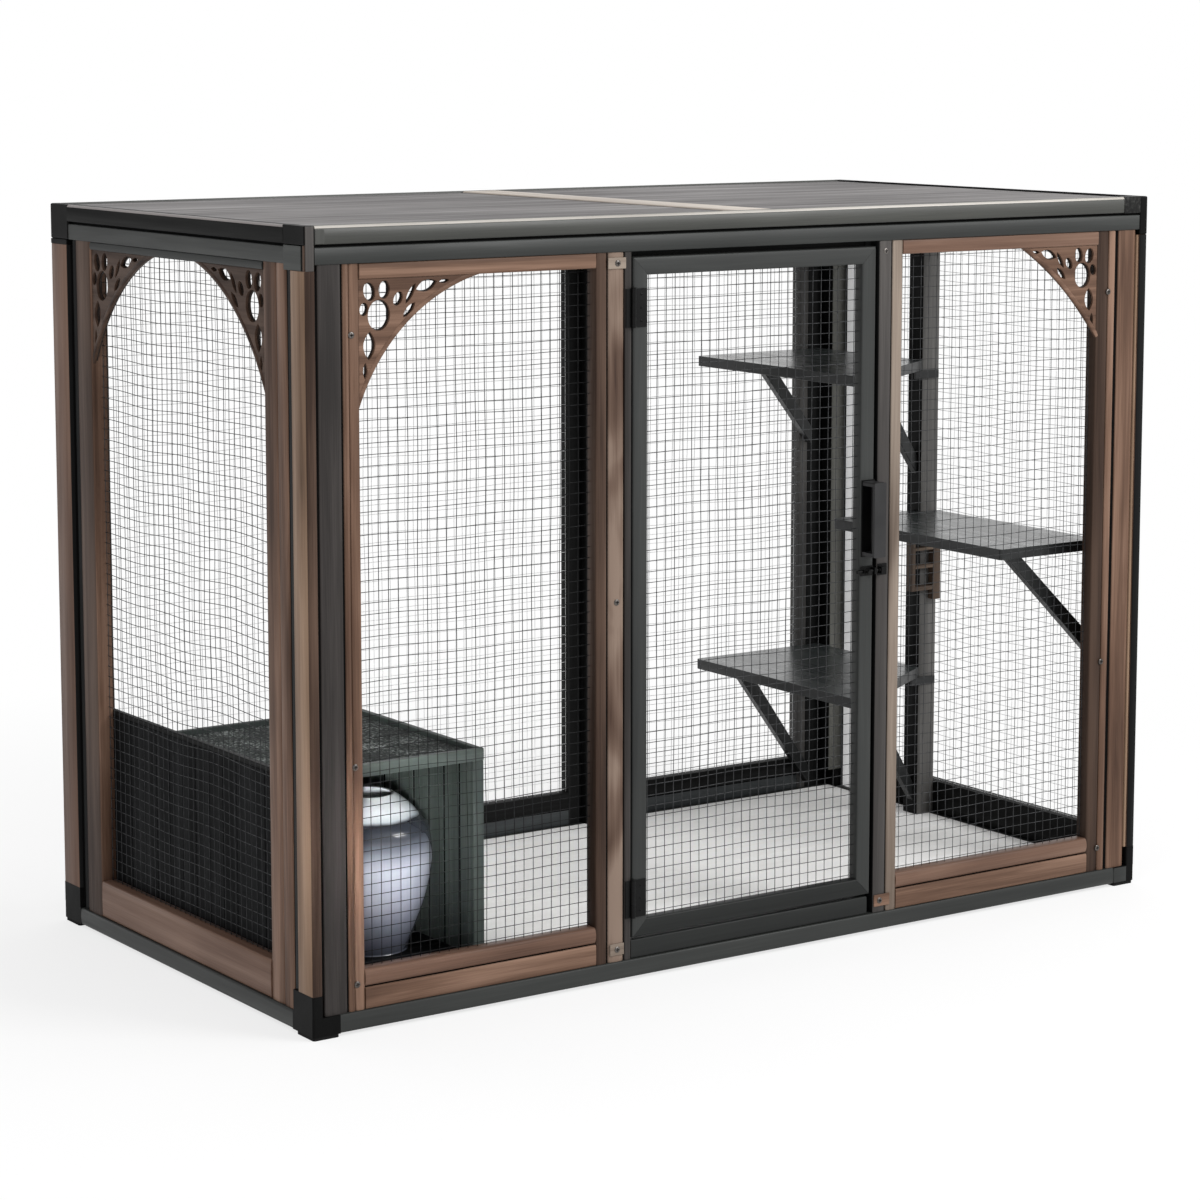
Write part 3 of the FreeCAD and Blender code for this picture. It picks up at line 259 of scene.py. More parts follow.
WIRE_DARK = speckle("wire_dark_coat", [(0.0, (0.004, 0.0042, 0.0045)), (0.5, (0.0085, 0.0088, 0.0094)), (1.0, (0.018, 0.0186, 0.0196))], 60,
                    (0.5, 0.65), 0.12, 0.05, 0.0, 3.0)
PALE_WIRE = speckle("pale_wire_coat", [(0.0, (0.55, 0.553, 0.556)), (0.5, (0.68, 0.683, 0.686)), (1.0, (0.80, 0.803, 0.806))], 60,
                    (0.35, 0.5), 0.45, 0.05, 0.0, 3.0)
PLASTIC = speckle("moulded_black", [(0.0, (0.0012, 0.0012, 0.0012)), (0.6, (0.003, 0.003, 0.003)), (1.0, (0.0075, 0.0075, 0.0073))], 900,
                  (0.4, 0.55), 0.07, 0.12)
CAST_BLACK = speckle("cast_black", [(0.0, (0.0012, 0.0012, 0.0011)), (0.45, (0.006, 0.0061, 0.0057)), (0.75, (0.020, 0.0202, 0.019)),
                                    (1.0, (0.052, 0.052, 0.048))], 130, (0.4, 0.6), 0.15, 0.9)
RUBBER = speckle("foot_rubber", [(0.0, (0.002, 0.002, 0.002)), (1.0, (0.008, 0.008, 0.008))], 700, (0.7, 0.9), 0.15, 0.2)
METAL = speckle("black_powder_coat", [(0.0, (0.0016, 0.0016, 0.0016)), (0.6, (0.0034, 0.0034, 0.0034)), (1.0, (0.009, 0.009, 0.009))], 1100,
                (0.32, 0.45), 0.12, 0.06)
PULL_GREY = speckle("pull_coat", [(0.0, (0.014, 0.0138, 0.0142)), (0.6, (0.027, 0.0266, 0.0274)), (1.0, (0.050, 0.049, 0.0505))], 1100,
                    (0.32, 0.45), 0.2, 0.06)
MATTING = speckle("den_matting", [(0.0, (0.003, 0.004, 0.0036)), (0.42, (0.022, 0.027, 0.025)), (0.62, (0.085, 0.098, 0.092)),
                                  (0.8, (0.26, 0.28, 0.27)), (1.0, (0.42, 0.44, 0.43))], 105, (0.7, 0.9), 0.2, 2.0)
STEEL = speckle("screw_steel", [(0.0, (0.045, 0.040, 0.036)), (0.5, (0.105, 0.094, 0.087)), (1.0, (0.22, 0.205, 0.193))], 500, (0.25, 0.42), 0.5,
                0.05, 0.8)


# ---------------------------------------------------------------- mesh helpers
class Build:
    """Gathers members into one mesh, with each member's own grain coordinates."""

    count = 0

    def __init__(self, *mats):
        self.mats = list(mats)
        self.v, self.f, self.m, self.g = [], [], [], []

    def take(self, bm, axis, mat=0, pick=None):
        bmesh.ops.recalc_face_normals(bm, faces=bm.faces[:])
        bm.verts.index_update()
        Build.count += 1
        k = Build.count
        off = (k * 3.37 % 41.0, k * 1.93 % 17.0, k * 0.71 % 11.0)
        base = len(self.v)
        order = {"x": (0, 1, 2), "y": (1, 0, 2), "z": (2, 0, 1)}[axis]
        for v in bm.verts:
            self.v.append(tuple(v.co))
            self.g.append(tuple(v.co[order[i]] + off[i] for i in range(3)))
        for f in bm.faces:
            self.f.append([base + v.index for v in f.verts])
            self.m.append(pick(f) if pick else mat)
        bm.free()

    def mesh(self, name, smooth=40.0):
        me = bpy.data.meshes.new(name)
        me.from_pydata(self.v, [], self.f)
        for m in self.mats:
            me.materials.append(m)
        me.polygons.foreach_set("material_index", self.m)
        at = me.attributes.new("grain", "FLOAT_VECTOR", "POINT")
        at.data.foreach_set("vector", [c for g in self.g for c in g])
        me.polygons.foreach_set("use_smooth", [True] * len(me.polygons))
        me.update()
        me.set_sharp_from_angle(angle=math.radians(smooth))
        return me

    def done(self, name, body, slot, *nodes, weighted=True, smooth=40.0):
        ob = bpy.data.objects.new(name, self.mesh(name, smooth))
        bpy.context.scene.collection.objects.link(ob)
        if weighted:
            wn = ob.modifiers.new("weighted", "WEIGHTED_NORMAL")
            wn.keep_sharp = True
        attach(ob, body)
        if nodes:
            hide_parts(*nodes)
        return ob


def arc(c, a, b, r, n):
    return [(c[0] + r * math.cos(a + (b - a) * i / n), c[1] + r * math.sin(a + (b - a) * i / n)) for i in range(n + 1)]


def crowned(w, d, r, crown, r2, n=4):
    """A member's section: a crowned face at the bottom with r corners, small r2 corners behind."""
    q = math.pi / 2
    pts = arc((r, crown + r), 2 * q, 3 * q, r, n)
    if crown:
        for i in range(1, 8):
            t = i / 8.0
            pts.append((r + (w - 2 * r) * t, crown * (2 * t - 1) ** 2))
    pts += arc((w - r, crown + r), 3 * q, 4 * q, r, n)
    pts += arc((w - r2, d - r2), 0, q, r2, 2)
    pts += arc((r2, d - r2), q, 2 * q, r2, 2)
    return pts


def rounded(pts, r, n=3):
    """Polygon with every corner rounded; r is one radius or one for each corner."""
    out = []
    k = len(pts)
    for i in range(k):
        rr = r[i] if isinstance(r, (list, tuple)) else r
        p0, p1, p2 = Vector(pts[i - 1]), Vector(pts[i]), Vector(pts[(i + 1) % k])
        if rr <= 0:
            out.append(tuple(p1))
            continue
        d1, d2 = (p0 - p1), (p2 - p1)
        l1, l2 = d1.length, d2.length
        d1, d2 = d1 / l1, d2 / l2
        ang = d1.angle(d2)
        t = min(rr / math.tan(ang / 2), 0.45 * l1, 0.45 * l2)
        a, b = p1 + d1 * t, p1 + d2 * t
        for j in range(n + 1):
            s = j / n
            out.append(tuple((1 - s) ** 2 * a + 2 * s * (1 - s) * (0.45 * p1 + 0.275 * (a + b)) + s ** 2 * b))
    return out


def extrude(section, axis, a0, a1, end=0.6):
    """section points (the two other axes in x, y, z order) in mm, run from a0 to a1."""
    bm = bmesh.new()

    def at(p, a):
        return wp(*{"z": (p[0], p[1], a), "x": (a, p[0], p[1]), "y": (p[0], a, p[1])}[axis])

    lo = [bm.verts.new(at(p, a0)) for p in section]
    hi = [bm.verts.new(at(p, a1)) for p in section]
    k = len(section)
    caps = [bm.faces.new(lo[::-1]), bm.faces.new(hi)]
    for i in range(k):
        bm.faces.new((lo[i], lo[(i + 1) % k], hi[(i + 1) % k], hi[i]))
    if end > 0:
        rim = list({e for f in caps for e in f.edges})
        bmesh.ops.bevel(bm, geom=rim, offset=end / 1000.0, segments=1, profile=0.5, affect="EDGES", clamp_overlap=True)
    return bm


def member(b, axis, lo, hi, face, r=4.0, crown=0.8, r2=1.5, mat=0, pick=None, end=0.5):
    """A straight timber between two corners, crowned on one face such as -y."""
    idx = {"z": (0, 1), "x": (1, 2), "y": (0, 2)}[axis]
    along = {"x": 0, "y": 1, "z": 2}[axis]
    u0, v0, u1, v1 = lo[idx[0]], lo[idx[1]], hi[idx[0]], hi[idx[1]]
    names = "xyz"
    sign, which = face[0], face[1]
    if which == names[idx[1]]:
        pts = crowned(u1 - u0, v1 - v0, r, crown, r2)
        sec = [(u0 + p, v0 + q) if sign == "-" else (u0 + p, v1 - q) for p, q in pts]
    else:
        pts = crowned(v1 - v0, u1 - u0, r, crown, r2)
        sec = [(u0 + q, v0 + p) if sign == "-" else (u1 - q, v0 + p) for p, q in pts]
    b.take(extrude(sec, axis, lo[along], hi[along], end), axis, mat, pick)


def board(b, lo, hi, axis, r=1.5, seg=2, mat=0, pick=None):
    bm = bmesh.new()
    bmesh.ops.create_cube(bm, size=1.0)
    a, c = wp(*lo), wp(*hi)
    for v in bm.verts:
        v.co = Vector(a[i] + (c[i] - a[i]) * (v.co[i] + 0.5) for i in range(3))
    if r > 0:
        bmesh.ops.bevel(bm, geom=bm.edges[:], offset=r / 1000.0, segments=seg, profile=0.5, affect="EDGES", clamp_overlap=True)
    b.take(bm, axis, mat, pick)


def lathe(b, profile, centre, axis, n=20, mat=0, close=True):
    """Turns (radius, height) points in mm about an axis through centre; axis is a sign and a letter."""
    bm = bmesh.new()
    rings = []
    for r, h in profile:
        if r < 1e-6:
            rings.append([(0.0, h, 0.0)])
        else:
            rings.append([(r * math.cos(2 * math.pi * i / n), h, r * math.sin(2 * math.pi * i / n)) for i in range(n)])
    sign = -1.0 if axis[0] == "-" else 1.0

    def put(p):
        a, h, c = p
        h *= sign
        x, y, z = {"z": (a, c, h), "y": (a, h, c), "x": (h, a, c)}[axis[1]]
        return wp(centre[0] + x, centre[1] + y, centre[2] + z)

    vs = [[bm.verts.new(put(p)) for p in ring] for ring in rings]
    for a, c in zip(vs, vs[1:]):
        for i in range(n):
            j = (i + 1) % n
            if len(a) == 1 and len(c) == 1:
                continue
            if len(a) == 1:
                bm.faces.new((a[0], c[j], c[i]))
            elif len(c) == 1:
                bm.faces.new((a[i], a[j], c[0]))
            else:
                bm.faces.new((a[i], a[j], c[j], c[i]))
    b.take(bm, axis[1], mat)


def two_tone(normal, outer, inner):
    """Faces turned towards the given normal take one material, the rest another."""
    n = Vector(normal)
    return lambda f: outer if f.normal.dot(n) > 0.25 else inner


# ---------------------------------------------------------------- panel frames
def panel(b, side, a0, a1, z0, z1, near, far, head, foot, pick=None, mats=None, split=0.5, seam=None):
    """Stiles full height in bands (width, finish, setback) counted from the outer end, rails between them,
    and a foot rail in two bands with a groove where split is given."""
    mats = mats or {"head": 0, "foot": 0, "low": 0}
    face = {"front": "-y", "back": "+y", "left": "-x", "right": "+x"}[side]
    lay = {"front": (6, 46), "back": (D - 46, D - 6), "left": (6, 46), "right": (W - 46, W - 6)}[side]
    along = "x" if side in ("front", "back") else "y"
    low_face = side in ("front", "left")

    def corner(a, z, which, setback=0.0):
        lays = (lay[0] + setback, lay[1]) if low_face else (lay[0], lay[1] - setback)
        return (a, lays[which], z) if along == "x" else (lays[which], a, z)

    def piece(axis, p0, q0, p1, q1, mat, setback=0.0, pick=pick, **kw):
        member(b, axis, corner(p0, q0, 0, setback), corner(p1, q1, 1, setback), face, mat=mat,
               pick=mat if callable(mat) else pick, **kw)

    def groove(axis, p0, q0, p1, q1, mat=None):
        g0, g1 = corner(p0, q0, 0, 6.0), corner(p1, q1, 1, 6.0)
        g0, g1 = list(g0), list(g1)
        k = 1 if along == "x" else 0
        if low_face:
            g1[k] -= 1.0
        else:
            g0[k] += 1.0
        board(b, g0, g1, axis, 0, mat=len(b.mats) - 1 if mat is None else mat)

    wn = sum(w for w, *_ in near)
    wf = sum(w for w, *_ in far)
    a = a0
    for i, (w, mat, setback) in enumerate(near):
        piece("z", a + (0.7 if i else 0), z0, a + w, z1, mat, setback, r=4.0 if w > 22 else 5.0, crown=1.2)
        if i:
            groove("z", a - 1, z0 + 0.5, a + 1.5, z1 - 0.5)
        a += w
    a = a1
    for i, (w, mat, setback) in enumerate(far):
        piece("z", a - w, z0, a - (0.7 if i else 0), z1, mat, setback, r=4.0 if w > 22 else 5.0, crown=1.2)
        if i:
            groove("z", a - 1.5, z0 + 0.5, a + 1, z1 - 0.5)
        a -= w
    i0, i1 = a0 + wn + 0.4, a1 - wf - 0.4
    piece(along, i0, z1 - head, i1, z1, mats["head"], r=3.0, crown=0.8)
    if split:
        mid = z0 + foot * split
        piece(along, i0, mid + 1.2, i1, z0 + foot, mats["foot"], r=7.0, crown=2.2)
        piece(along, i0, z0, i1, mid - 1.2, mats["low"], r=2.5, crown=0.6)
        groove(along, i0, mid - 2, i1, mid + 2, seam)
    else:
        piece(along, i0, z0, i1, z0 + foot, mats["foot"], r=4.0, crown=1.2)


PB, PT = 50.0, 1715.0
b = Build(BRONZE, BRONZE_PINK, BRONZE_PALE, BRONZE_PAINTED_SHADE, JOINT)
# The stile beside the door takes the darker bronze as painted shade.
panel(b, "front", 97, 793, PB, PT, [(16, 0, 0), (26, 0, 1.5)], [(30, 3, 0)], 35, 90, mats={"head": 0, "foot": 1, "low": 0}, split=0.56)
b.done("front_left_panel_members", "enclosure", "bronze_wood", "front_left_panel_frame", weighted=False)
b = Build(BRONZE, BRONZE_PINK, BRONZE_PALE, BRONZE_DEEP_PAINTED_SHADE, JOINT)
# The far stile's recessed band nearer the mesh takes the deeper bronze as painted shade.
panel(b, "front", 1636, 2371, PB, PT, [(32, 2, 0)], [(22, 0, 0), (39, 3, 2.5)], 35, 90, mats={"head": 1, "foot": 1, "low": 0}, split=0.56)
b.done("front_right_panel_members", "enclosure", "bronze_wood", "front_right_panel_frame", weighted=False)
b = Build(BRONZE, BRONZE_PINK, CHARCOAL, BRONZE_PAINTED_SHADE, BLACK_WOOD, JOINT)
# The far stile's outer band is black as a painted shadow gap beside the back post; the other band's side faces take the
# darker bronze as painted shade.
panel(b, "left", 96, 1160, PB, PT, [(44, 0, 0), (61, 0, 1.5)], [(25, 4, 3.0), (80, lambda f: 0 if f.normal.y < -0.5 else 3, 0)], 19, 90,
      mats={"head": 2, "foot": 1, "low": 1}, split=None)
b.done("left_panel_members", "enclosure", "bronze_wood", "left_panel_frame", weighted=False)
b = Build(BRONZE, BLACK_WOOD, PAINTED_LIGHT_STILE, BRONZE_PAINTED_SHADE, JOINT)
out = two_tone((1, 0, 0), 0, 1)
# The near stile's inner faces take the darker bronze as painted shade; the far stile's inner face is painted pale as a
# painted lit face, with light of its own.
panel(b, "right", 96, 1160, PB, PT, [(40, two_tone((1, 0, 0), 0, 3), 0)], [(40, lambda f: 0 if f.normal.x > 0.25 else (2 if f.normal.x < -0.5 else 1), 0)], 19, 90,
      mats={"head": out, "foot": out, "low": out}, split=None)
b.done("right_panel_members", "enclosure", "black_wood", "right_panel_frame", weighted=False)
b = Build(BRONZE, BLACK_WOOD, BLUE_GREY, BRONZE_PAINTED_SHADE, JOINT)
out = two_tone((0, 1, 0), 0, 1)
# The near stile's inner faces take the darker bronze as painted shade.
panel(b, "back", 96, 1540, PB, PT, [(30, two_tone((0, 1, 0), 0, 3), 0)], [(40, out, 0)], 35, 90,
      mats={"head": out, "foot": out, "low": two_tone((0, 1, 0), 0, 2)}, split=0.46)
b.done("back_left_panel_members", "enclosure", "black_wood", "back_left_panel_frame", weighted=False)
b = Build(BRONZE, BLACK_WOOD, BLUE_GREY, POST_GREY, JOINT)
panel(b, "back", 1607, 2376, PB, PT, [(40, out, 0)], [(50, out, 0), (30, two_tone((0, 1, 0), 0, 3), 0)], 35, 90,
      mats={"head": out, "foot": out, "low": two_tone((0, 1, 0), 0, 2)}, split=0.46)
b.done("back_right_panel_members", "enclosure", "black_wood", "back_right_panel_frame", weighted=False)

# ---------------------------------------------------------------- corner posts, fillers, posts
b = Build(BRONZE, BLACK_WOOD, BRONZE_PAINTED_HIGHLIGHT, BRONZE_PAINTED_SHADE)
L_LEFT = [(0, 0), (26, 0), (26, 40), (92, 40), (92, 88), (7, 88), (7, 66), (0, 66)]
rr = [4, 4, 1, 1.5, 2, 1, 1, 3]
L_RIGHT = [(0, 0), (26, 0), (26, 40), (92, 40), (92, 88), (0, 88)]


def bead(f):
    """Side face in lighter bronze as a painted highlight, front face in darker bronze as painted shade, black rebate
    next to the side panel.
    """
    c = f.calc_center_median()
    if f.normal.y < -0.6:
        return 3
    if c.y > wp(0, 65, 0).y:
        return 1
    return 2 if f.normal.x < -0.3 else 0


# The right post's bead has a black front face: painted shade.
def bead_front_painted_shade(f):
    return 1 if f.normal.y < -0.6 else 0


b.take(extrude(rounded(L_LEFT, rr, 4), "z", 100, 1702), "z", 0, bead)
b.take(extrude([(W - x, y) for x, y in rounded(L_RIGHT, [4, 4, 1, 1.5, 2, 3], 4)], "z", 100, 1702), "z", 0, bead_front_painted_shade)
b.done("front_corner_posts", "enclosure", "bronze_wood", "corner_posts_front", weighted=False)
b = Build(BRONZE, BLACK_WOOD, CORNER_GREY, BRONZE_PINK)
sec = rounded([(0, 1168), (92, 1168), (92, 1256), (0, 1256)], [2, 2, 5, 5], 4)
# The back left post's inner faces are black as painted shade in the corner; its outer side face takes the pink bronze.
b.take(extrude(sec, "z", 100, 1702), "z", 0, lambda f: 1 if f.normal.y < -0.5 or f.normal.x > 0.5 else (3 if f.normal.x < -0.5 else 0))
# The back right post's inner side face is black as painted shade; its inner front face is grey.
b.take(extrude([(W - x, y) for x, y in sec], "z", 100, 1702), "z", 0, lambda f: 2 if f.normal.y < -0.5 else (1 if f.normal.x < -0.5 else 0))
b.done("back_corner_posts", "enclosure", "bronze_wood", "corner_posts_back", weighted=False)
b = Build(PLUM, BRONZE, BRONZE_PAINTED_HIGHLIGHT)
member(b, "z", (34, 6, PB), (92, 40, PT), "-y", r=3.0, crown=0.8, mat=0)
member(b, "z", (W - 92, 6, PB), (W - 34, 40, PT), "-y", r=3.0, crown=1.2, mat=1)
# A thin strip in the right post's groove, in lighter bronze as a painted highlight.
member(b, "z", (W - 33.6, 3, 100.5), (W - 26.4, 39, 1701.5), "-y", r=2.4, crown=0.6, mat=2)
b.done("post_filler_strips", "enclosure", "plum_wood", "post_fillers", weighted=False)
b = Build(BLACK_WOOD)
member(b, "z", (1542, 1186, PB), (1605, 1250, PT), "-y", r=3.0, crown=0.6)
b.done("back_centre_upright", "enclosure", "black_wood", "back_centre_post", weighted=False)
b = Build(BRONZE_PATCHY)
member(b, "z", (797, 6, PB), (842, 60, PT), "-y", r=6.0, crown=2.0)
b.done("door_jamb_upright", "enclosure", "bronze_wood", "door_jamb_post", weighted=False)
b = Build(PLUM)
member(b, "z", (843, 6, PB), (861, 60, PT), "-y", r=1.5, crown=0.3)
b.done("hinge_stile_upright", "enclosure", "black_wood", "hinge_stile", weighted=False)
b = Build(STRIKE_GREY, BLACK_WOOD)
sec = rounded([(1594, 6), (1632, 6), (1632, 60), (1576, 60), (1576, 40), (1594, 40)], [3, 3, 1.5, 1.5, 1.5, 1], 3)
b.take(extrude(sec, "z", PB, PT), "z", 0, lambda f: 1 if f.calc_center_median().x < wp(1595, 0, 0).x else 0)
b.done("strike_upright", "enclosure", "black_wood", "strike_post", weighted=False)
b = Build(SILL_BLACK)
member(b, "x", (862, 6, 50), (1575, 38, 95), "-y", r=3.0, crown=0.8)
b.done("door_threshold_bar", "enclosure", "plum_wood", "door_threshold", weighted=False)
b = Build(BLACK_WOOD)
board(b, (862, 40, 1688), (1575, 56, 1715), "x", 1.5)
b.done("door_head_stop_bar", "enclosure", "black_wood", "door_head_stop")
b = Build(STANCHION_GREY, BLACK_WOOD)
# The stanchion's left face is black as painted shade; its other faces are grey.
member(b, "z", (2366, 755, PB), (2426, 815, PT), "-y", r=3.0, crown=0.8, pick=lambda f: 1 if f.normal.x < -0.6 else 0)
b.done("shelf_stanchion_upright", "enclosure", "black_wood", "shelf_stanchion", weighted=False)

# ---------------------------------------------------------------- base and top rails
b = Build(CHARCOAL)
member(b, "x", (70, 0, 8), (W - 70, 60, 50), "-y", r=3.5, crown=0.8)
board(b, (W - 70.5, -0.9, 9.5), (W - 27, 0.4, 48.5), "x", 0.4, 2)
member(b, "x", (70, D - 60, 8), (W - 70, D, 50), "+y", r=3.5, crown=0.8)
b.done("base_rails_long_run", "enclosure", "charcoal_wood", "base_rails_long", weighted=False)
b = Build(CHARCOAL)
member(b, "y", (0, 92, 8), (60, 1164, 50), "-x", r=3.5, crown=0.8)
member(b, "y", (W - 60, 92, 8), (W, 1164, 50), "+x", r=3.5, crown=0.8)
b.done("base_rails_short_run", "enclosure", "charcoal_wood", "base_rails_short", weighted=False)

FASCIA = [(2, 1715), (60, 1715), (60, 1753), (2, 1753)]
GROOVE = [(9, 1752), (60, 1752), (60, 1760), (9, 1760)]
CAP = [(0, 1759), (60, 1759), (60, 1786), (22, 1786), (22, 1800), (6, 1800), (6, 1794), (0, 1794)]
# A quarter-round bead on the cap's top edge, in a pale finish that paints the highlight of that edge.
BEAD = [(0.3, 1794)] + [(6 - 5.7 * math.cos(i * math.pi / 16), 1794 + 5.7 * math.sin(i * math.pi / 16)) for i in range(9)] + [(7, 1799.6), (7, 1794)]


def top_rail(b, axis, flip, a0, a1):
    far = D if axis == "x" else W
    for sec, r, mat in ((FASCIA, [2.5, 1, 1, 2.5], 0), (GROOVE, 0, 2), (CAP, [2.5, 1, 1, 0.8, 0.8, 0, 0, 1.2], 1), (BEAD, 0, 3)):
        pts = rounded(sec, r, 3) if r else sec
        if flip:
            pts = [(far - p, q) for p, q in pts]
        b.take(extrude(pts, axis, a0, a1, 0.4), axis, mat)


# Front and back rails: the pale bead along each cap is a painted highlight.
b = Build(CHARCOAL, CHARCOAL_CAP, JOINT, GREY_HIGHLIGHT_BEAD)
top_rail(b, "x", False, 26, W - 26)
top_rail(b, "x", True, 26, W - 26)
b.done("top_rails_long_run", "enclosure", "charcoal_wood", "top_rails_long", weighted=False)
# Side rails: the near-black cap is painted shade and the pink bead a painted highlight.
b = Build(FASCIA_GREY, CAP_PAINTED_SHADE, JOINT, PINK_HIGHLIGHT_BEAD)
top_rail(b, "y", False, 92, D - 92)
top_rail(b, "y", True, 92, D - 92)
b.done("top_rails_short_run", "enclosure", "charcoal_wood", "top_rails_short", weighted=False)

# ---------------------------------------------------------------- roof
MID = W * 0.497
b = Build(ROOF, JOINT)
edges = [28, 28 + 240, 28 + 480, 28 + 720, 28 + 960, 1228]
for x0, x1 in ((28, MID - 2), (MID + 2, W - 28)):
    for y0, y1 in zip(edges, edges[1:]):
        board(b, (x0, y0 + 0.6, 1787), (x1, y1 - 0.6, 1796), "x", 1.2, 2)
    board(b, (x0 + 1, 29, 1786), (x1 - 1, 1227, 1794), "x", 0, mat=1)
b.done("roof_planks", "enclosure", "roof_board", "roof_boards")
b = Build(BEIGE)
sec = rounded([(MID - 55, 1796), (MID + 55, 1796), (MID + 49, 1800), (MID - 49, 1800)], 1.0, 2)
b.take(extrude(sec, "y", 28, D - 28), "y", 0)
b.done("roof_batten_strip", "enclosure", "pale_batten", "roof_batten", weighted=False)
b = Build(BLACK_WOOD)
member(b, "y", (MID - 25, 60, 1746), (MID + 25, D - 60, 1786), "-x", r=2.0, crown=0.0)
b.done("roof_beam_bar", "enclosure", "black_wood", "roof_beam")


# ---------------------------------------------------------------- door frame, mitred
def mitred(b, a0, a1, z0, z1, w, lay, r, crown, mat):
    """Four members with their ends cut at 45 degrees."""
    sec = crowned(w, lay[1] - lay[0], r, crown, 1.5)
    cx, cz = (a0 + a1) / 2, (z0 + z1) / 2
    for axis, side in (("z", -1), ("z", 1), ("x", -1), ("x", 1)):
        bm = bmesh.new()
        lo, hi = [], []
        for p, q in sec:
            if axis == "z":
                x = a0 + p if side < 0 else a1 - p
                lo.append(bm.verts.new(wp(x, lay[0] + q, z0 + p + 0.25)))
                hi.append(bm.verts.new(wp(x, lay[0] + q, z1 - p - 0.25)))
            else:
                z = z0 + p if side < 0 else z1 - p
                lo.append(bm.verts.new(wp(a0 + p + 0.25, lay[0] + q, z)))
                hi.append(bm.verts.new(wp(a1 - p - 0.25, lay[0] + q, z)))
        k = len(sec)
        bm.faces.new(lo[::-1])
        bm.faces.new(hi)
        for i in range(k):
            bm.faces.new((lo[i], lo[(i + 1) % k], hi[(i + 1) % k], hi[i]))
        b.take(bm, axis, mat + 1 if (axis, side) == ("x", -1) else mat)


b = Build(DOOR_GREY, SILL_BLACK)
mitred(b, 866, 1584, 100, 1702, 42, (6, 36), 4.0, 0.8, 0)
b.done("door_frame_members", "door", "black_wood", "door_frame", weighted=False)


# ---------------------------------------------------------------- welded wire
def wire_panel(name, node, body, along, a0, a1, z0, z1, seat, inward, phase, sway=3.0, dia=1.75, mat=WIRE, slot="black_wire"):
    """Round wires in two welded layers, slightly out of true as hand-stretched mesh is."""
    pitch, r, k = 25.4, dia / 2, 6
    verts, faces = [], []

    def fade(a, z):
        fa = math.sin(math.pi * min(1.0, max(0.0, (a - a0) / (a1 - a0))))
        fz = math.sin(math.pi * min(1.0, max(0.0, (z - z0) / (z1 - z0))))
        return fa ** 0.6 * fz ** 0.6

    def warp(a, z):
        e = fade(a, z) * sway
        da = e * (0.8 * math.sin(z / 173.0 + phase) + 0.5 * math.sin(z / 71.0 + a / 240.0 + phase * 2.3))
        dz = e * (1.0 * math.sin(a / 131.0 + phase * 1.7) + 0.7 * math.sin(a / 57.0 + z / 210.0 + phase) + 0.6 * math.sin(z / 93.0 + phase))
        return a + da, z + dz

    def place(a, z, off):
        lay = seat + off * inward
        return wp(a, lay, z) if along == "x" else wp(lay, a, z)

    def tube(pts, upright):
        base = len(verts)
        n = len(pts)
        for a, z, off in pts:
            for i in range(k):
                t = 2 * math.pi * (i + 0.5) / k
                c, s = r * math.cos(t), r * math.sin(t)
                verts.append(place(a + c, z, off + s) if upright else place(a, z + c, off + s))
        for j in range(n - 1):
            for i in range(k):
                p, q = base + j * k + i, base + j * k + (i + 1) % k
                faces.append((p, q, q + k, p + k))
        faces.append(tuple(base + i for i in range(k))[::-1])
        faces.append(tuple(base + (n - 1) * k + i for i in range(k)))

    n = int((a1 - a0) // pitch)
    first = a0 + (a1 - a0 - n * pitch) / 2
    steps = int((z1 - z0) / 48)
    for i in range(n + 1):
        a = first + i * pitch
        pts = []
        for j in range(steps + 1):
            z = z0 - 6 + (z1 - z0 + 12) * j / steps
            wa, wz = warp(a, z)
            pts.append((wa, z, r))
        tube(pts, True)
    n = int((z1 - z0) // pitch)
    first = z0 + (z1 - z0 - n * pitch) / 2
    steps = int((a1 - a0) / 32)
    for i in range(n + 1):
        z = first + i * pitch
        pts = []
        for j in range(steps + 1):
            a = a0 - 6 + (a1 - a0 + 12) * j / steps
            wa, wz = warp(a, z)
            pts.append((a, wz, r * 2.9))
        tube(pts, False)
    me = bpy.data.meshes.new(name)
    me.from_pydata(verts, [], faces)
    me.materials.append(mat)
    me.polygons.foreach_set("use_smooth", [True] * len(me.polygons))
    me.update()
    bm = bmesh.new()
    bm.from_mesh(me)
    bmesh.ops.recalc_face_normals(bm, faces=bm.faces[:])
    bm.to_mesh(me)
    bm.free()
    ob = bpy.data.objects.new(name, me)
    bpy.context.scene.collection.objects.link(ob)
    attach(ob, body)
    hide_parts(node)
    return ob


wire_panel("front_left_mesh", "front_left_wire", "enclosure", "x", 139, 763, 140, 1680, 32, 1, 0.4, 2.6, dia=1.7, mat=WIRE_DARK)
wire_panel("front_right_mesh", "front_right_wire", "enclosure", "x", 1668, 2310, 140, 1680, 32, 1, 1.9, 2.4, dia=1.6)
wire_panel("left_mesh", "left_wire", "enclosure", "y", 201, 1055, 140, 1696, 32, 1, 2.7, 4.5)
PALE = dict(dia=1.3, mat=PALE_WIRE, slot="pale_wire")
wire_panel("right_mesh", "right_wire", "enclosure", "y", 136, 1120, 140, 1696, W - 32, -1, 4.1, 3.0, **PALE)
wire_panel("back_left_mesh", "back_left_wire", "enclosure", "x", 126, 1500, 140, 1680, D - 32, -1, 5.2, 3.0, **PALE)
wire_panel("back_right_mesh", "back_right_wire", "enclosure", "x", 1647, 2296, 140, 1680, D - 32, -1, 0.9, 3.0, **PALE)
wire_panel("door_mesh", "door_wire", "door", "x", 908, 1542, 142, 1660, 22, 1, 3.3, 2.2)


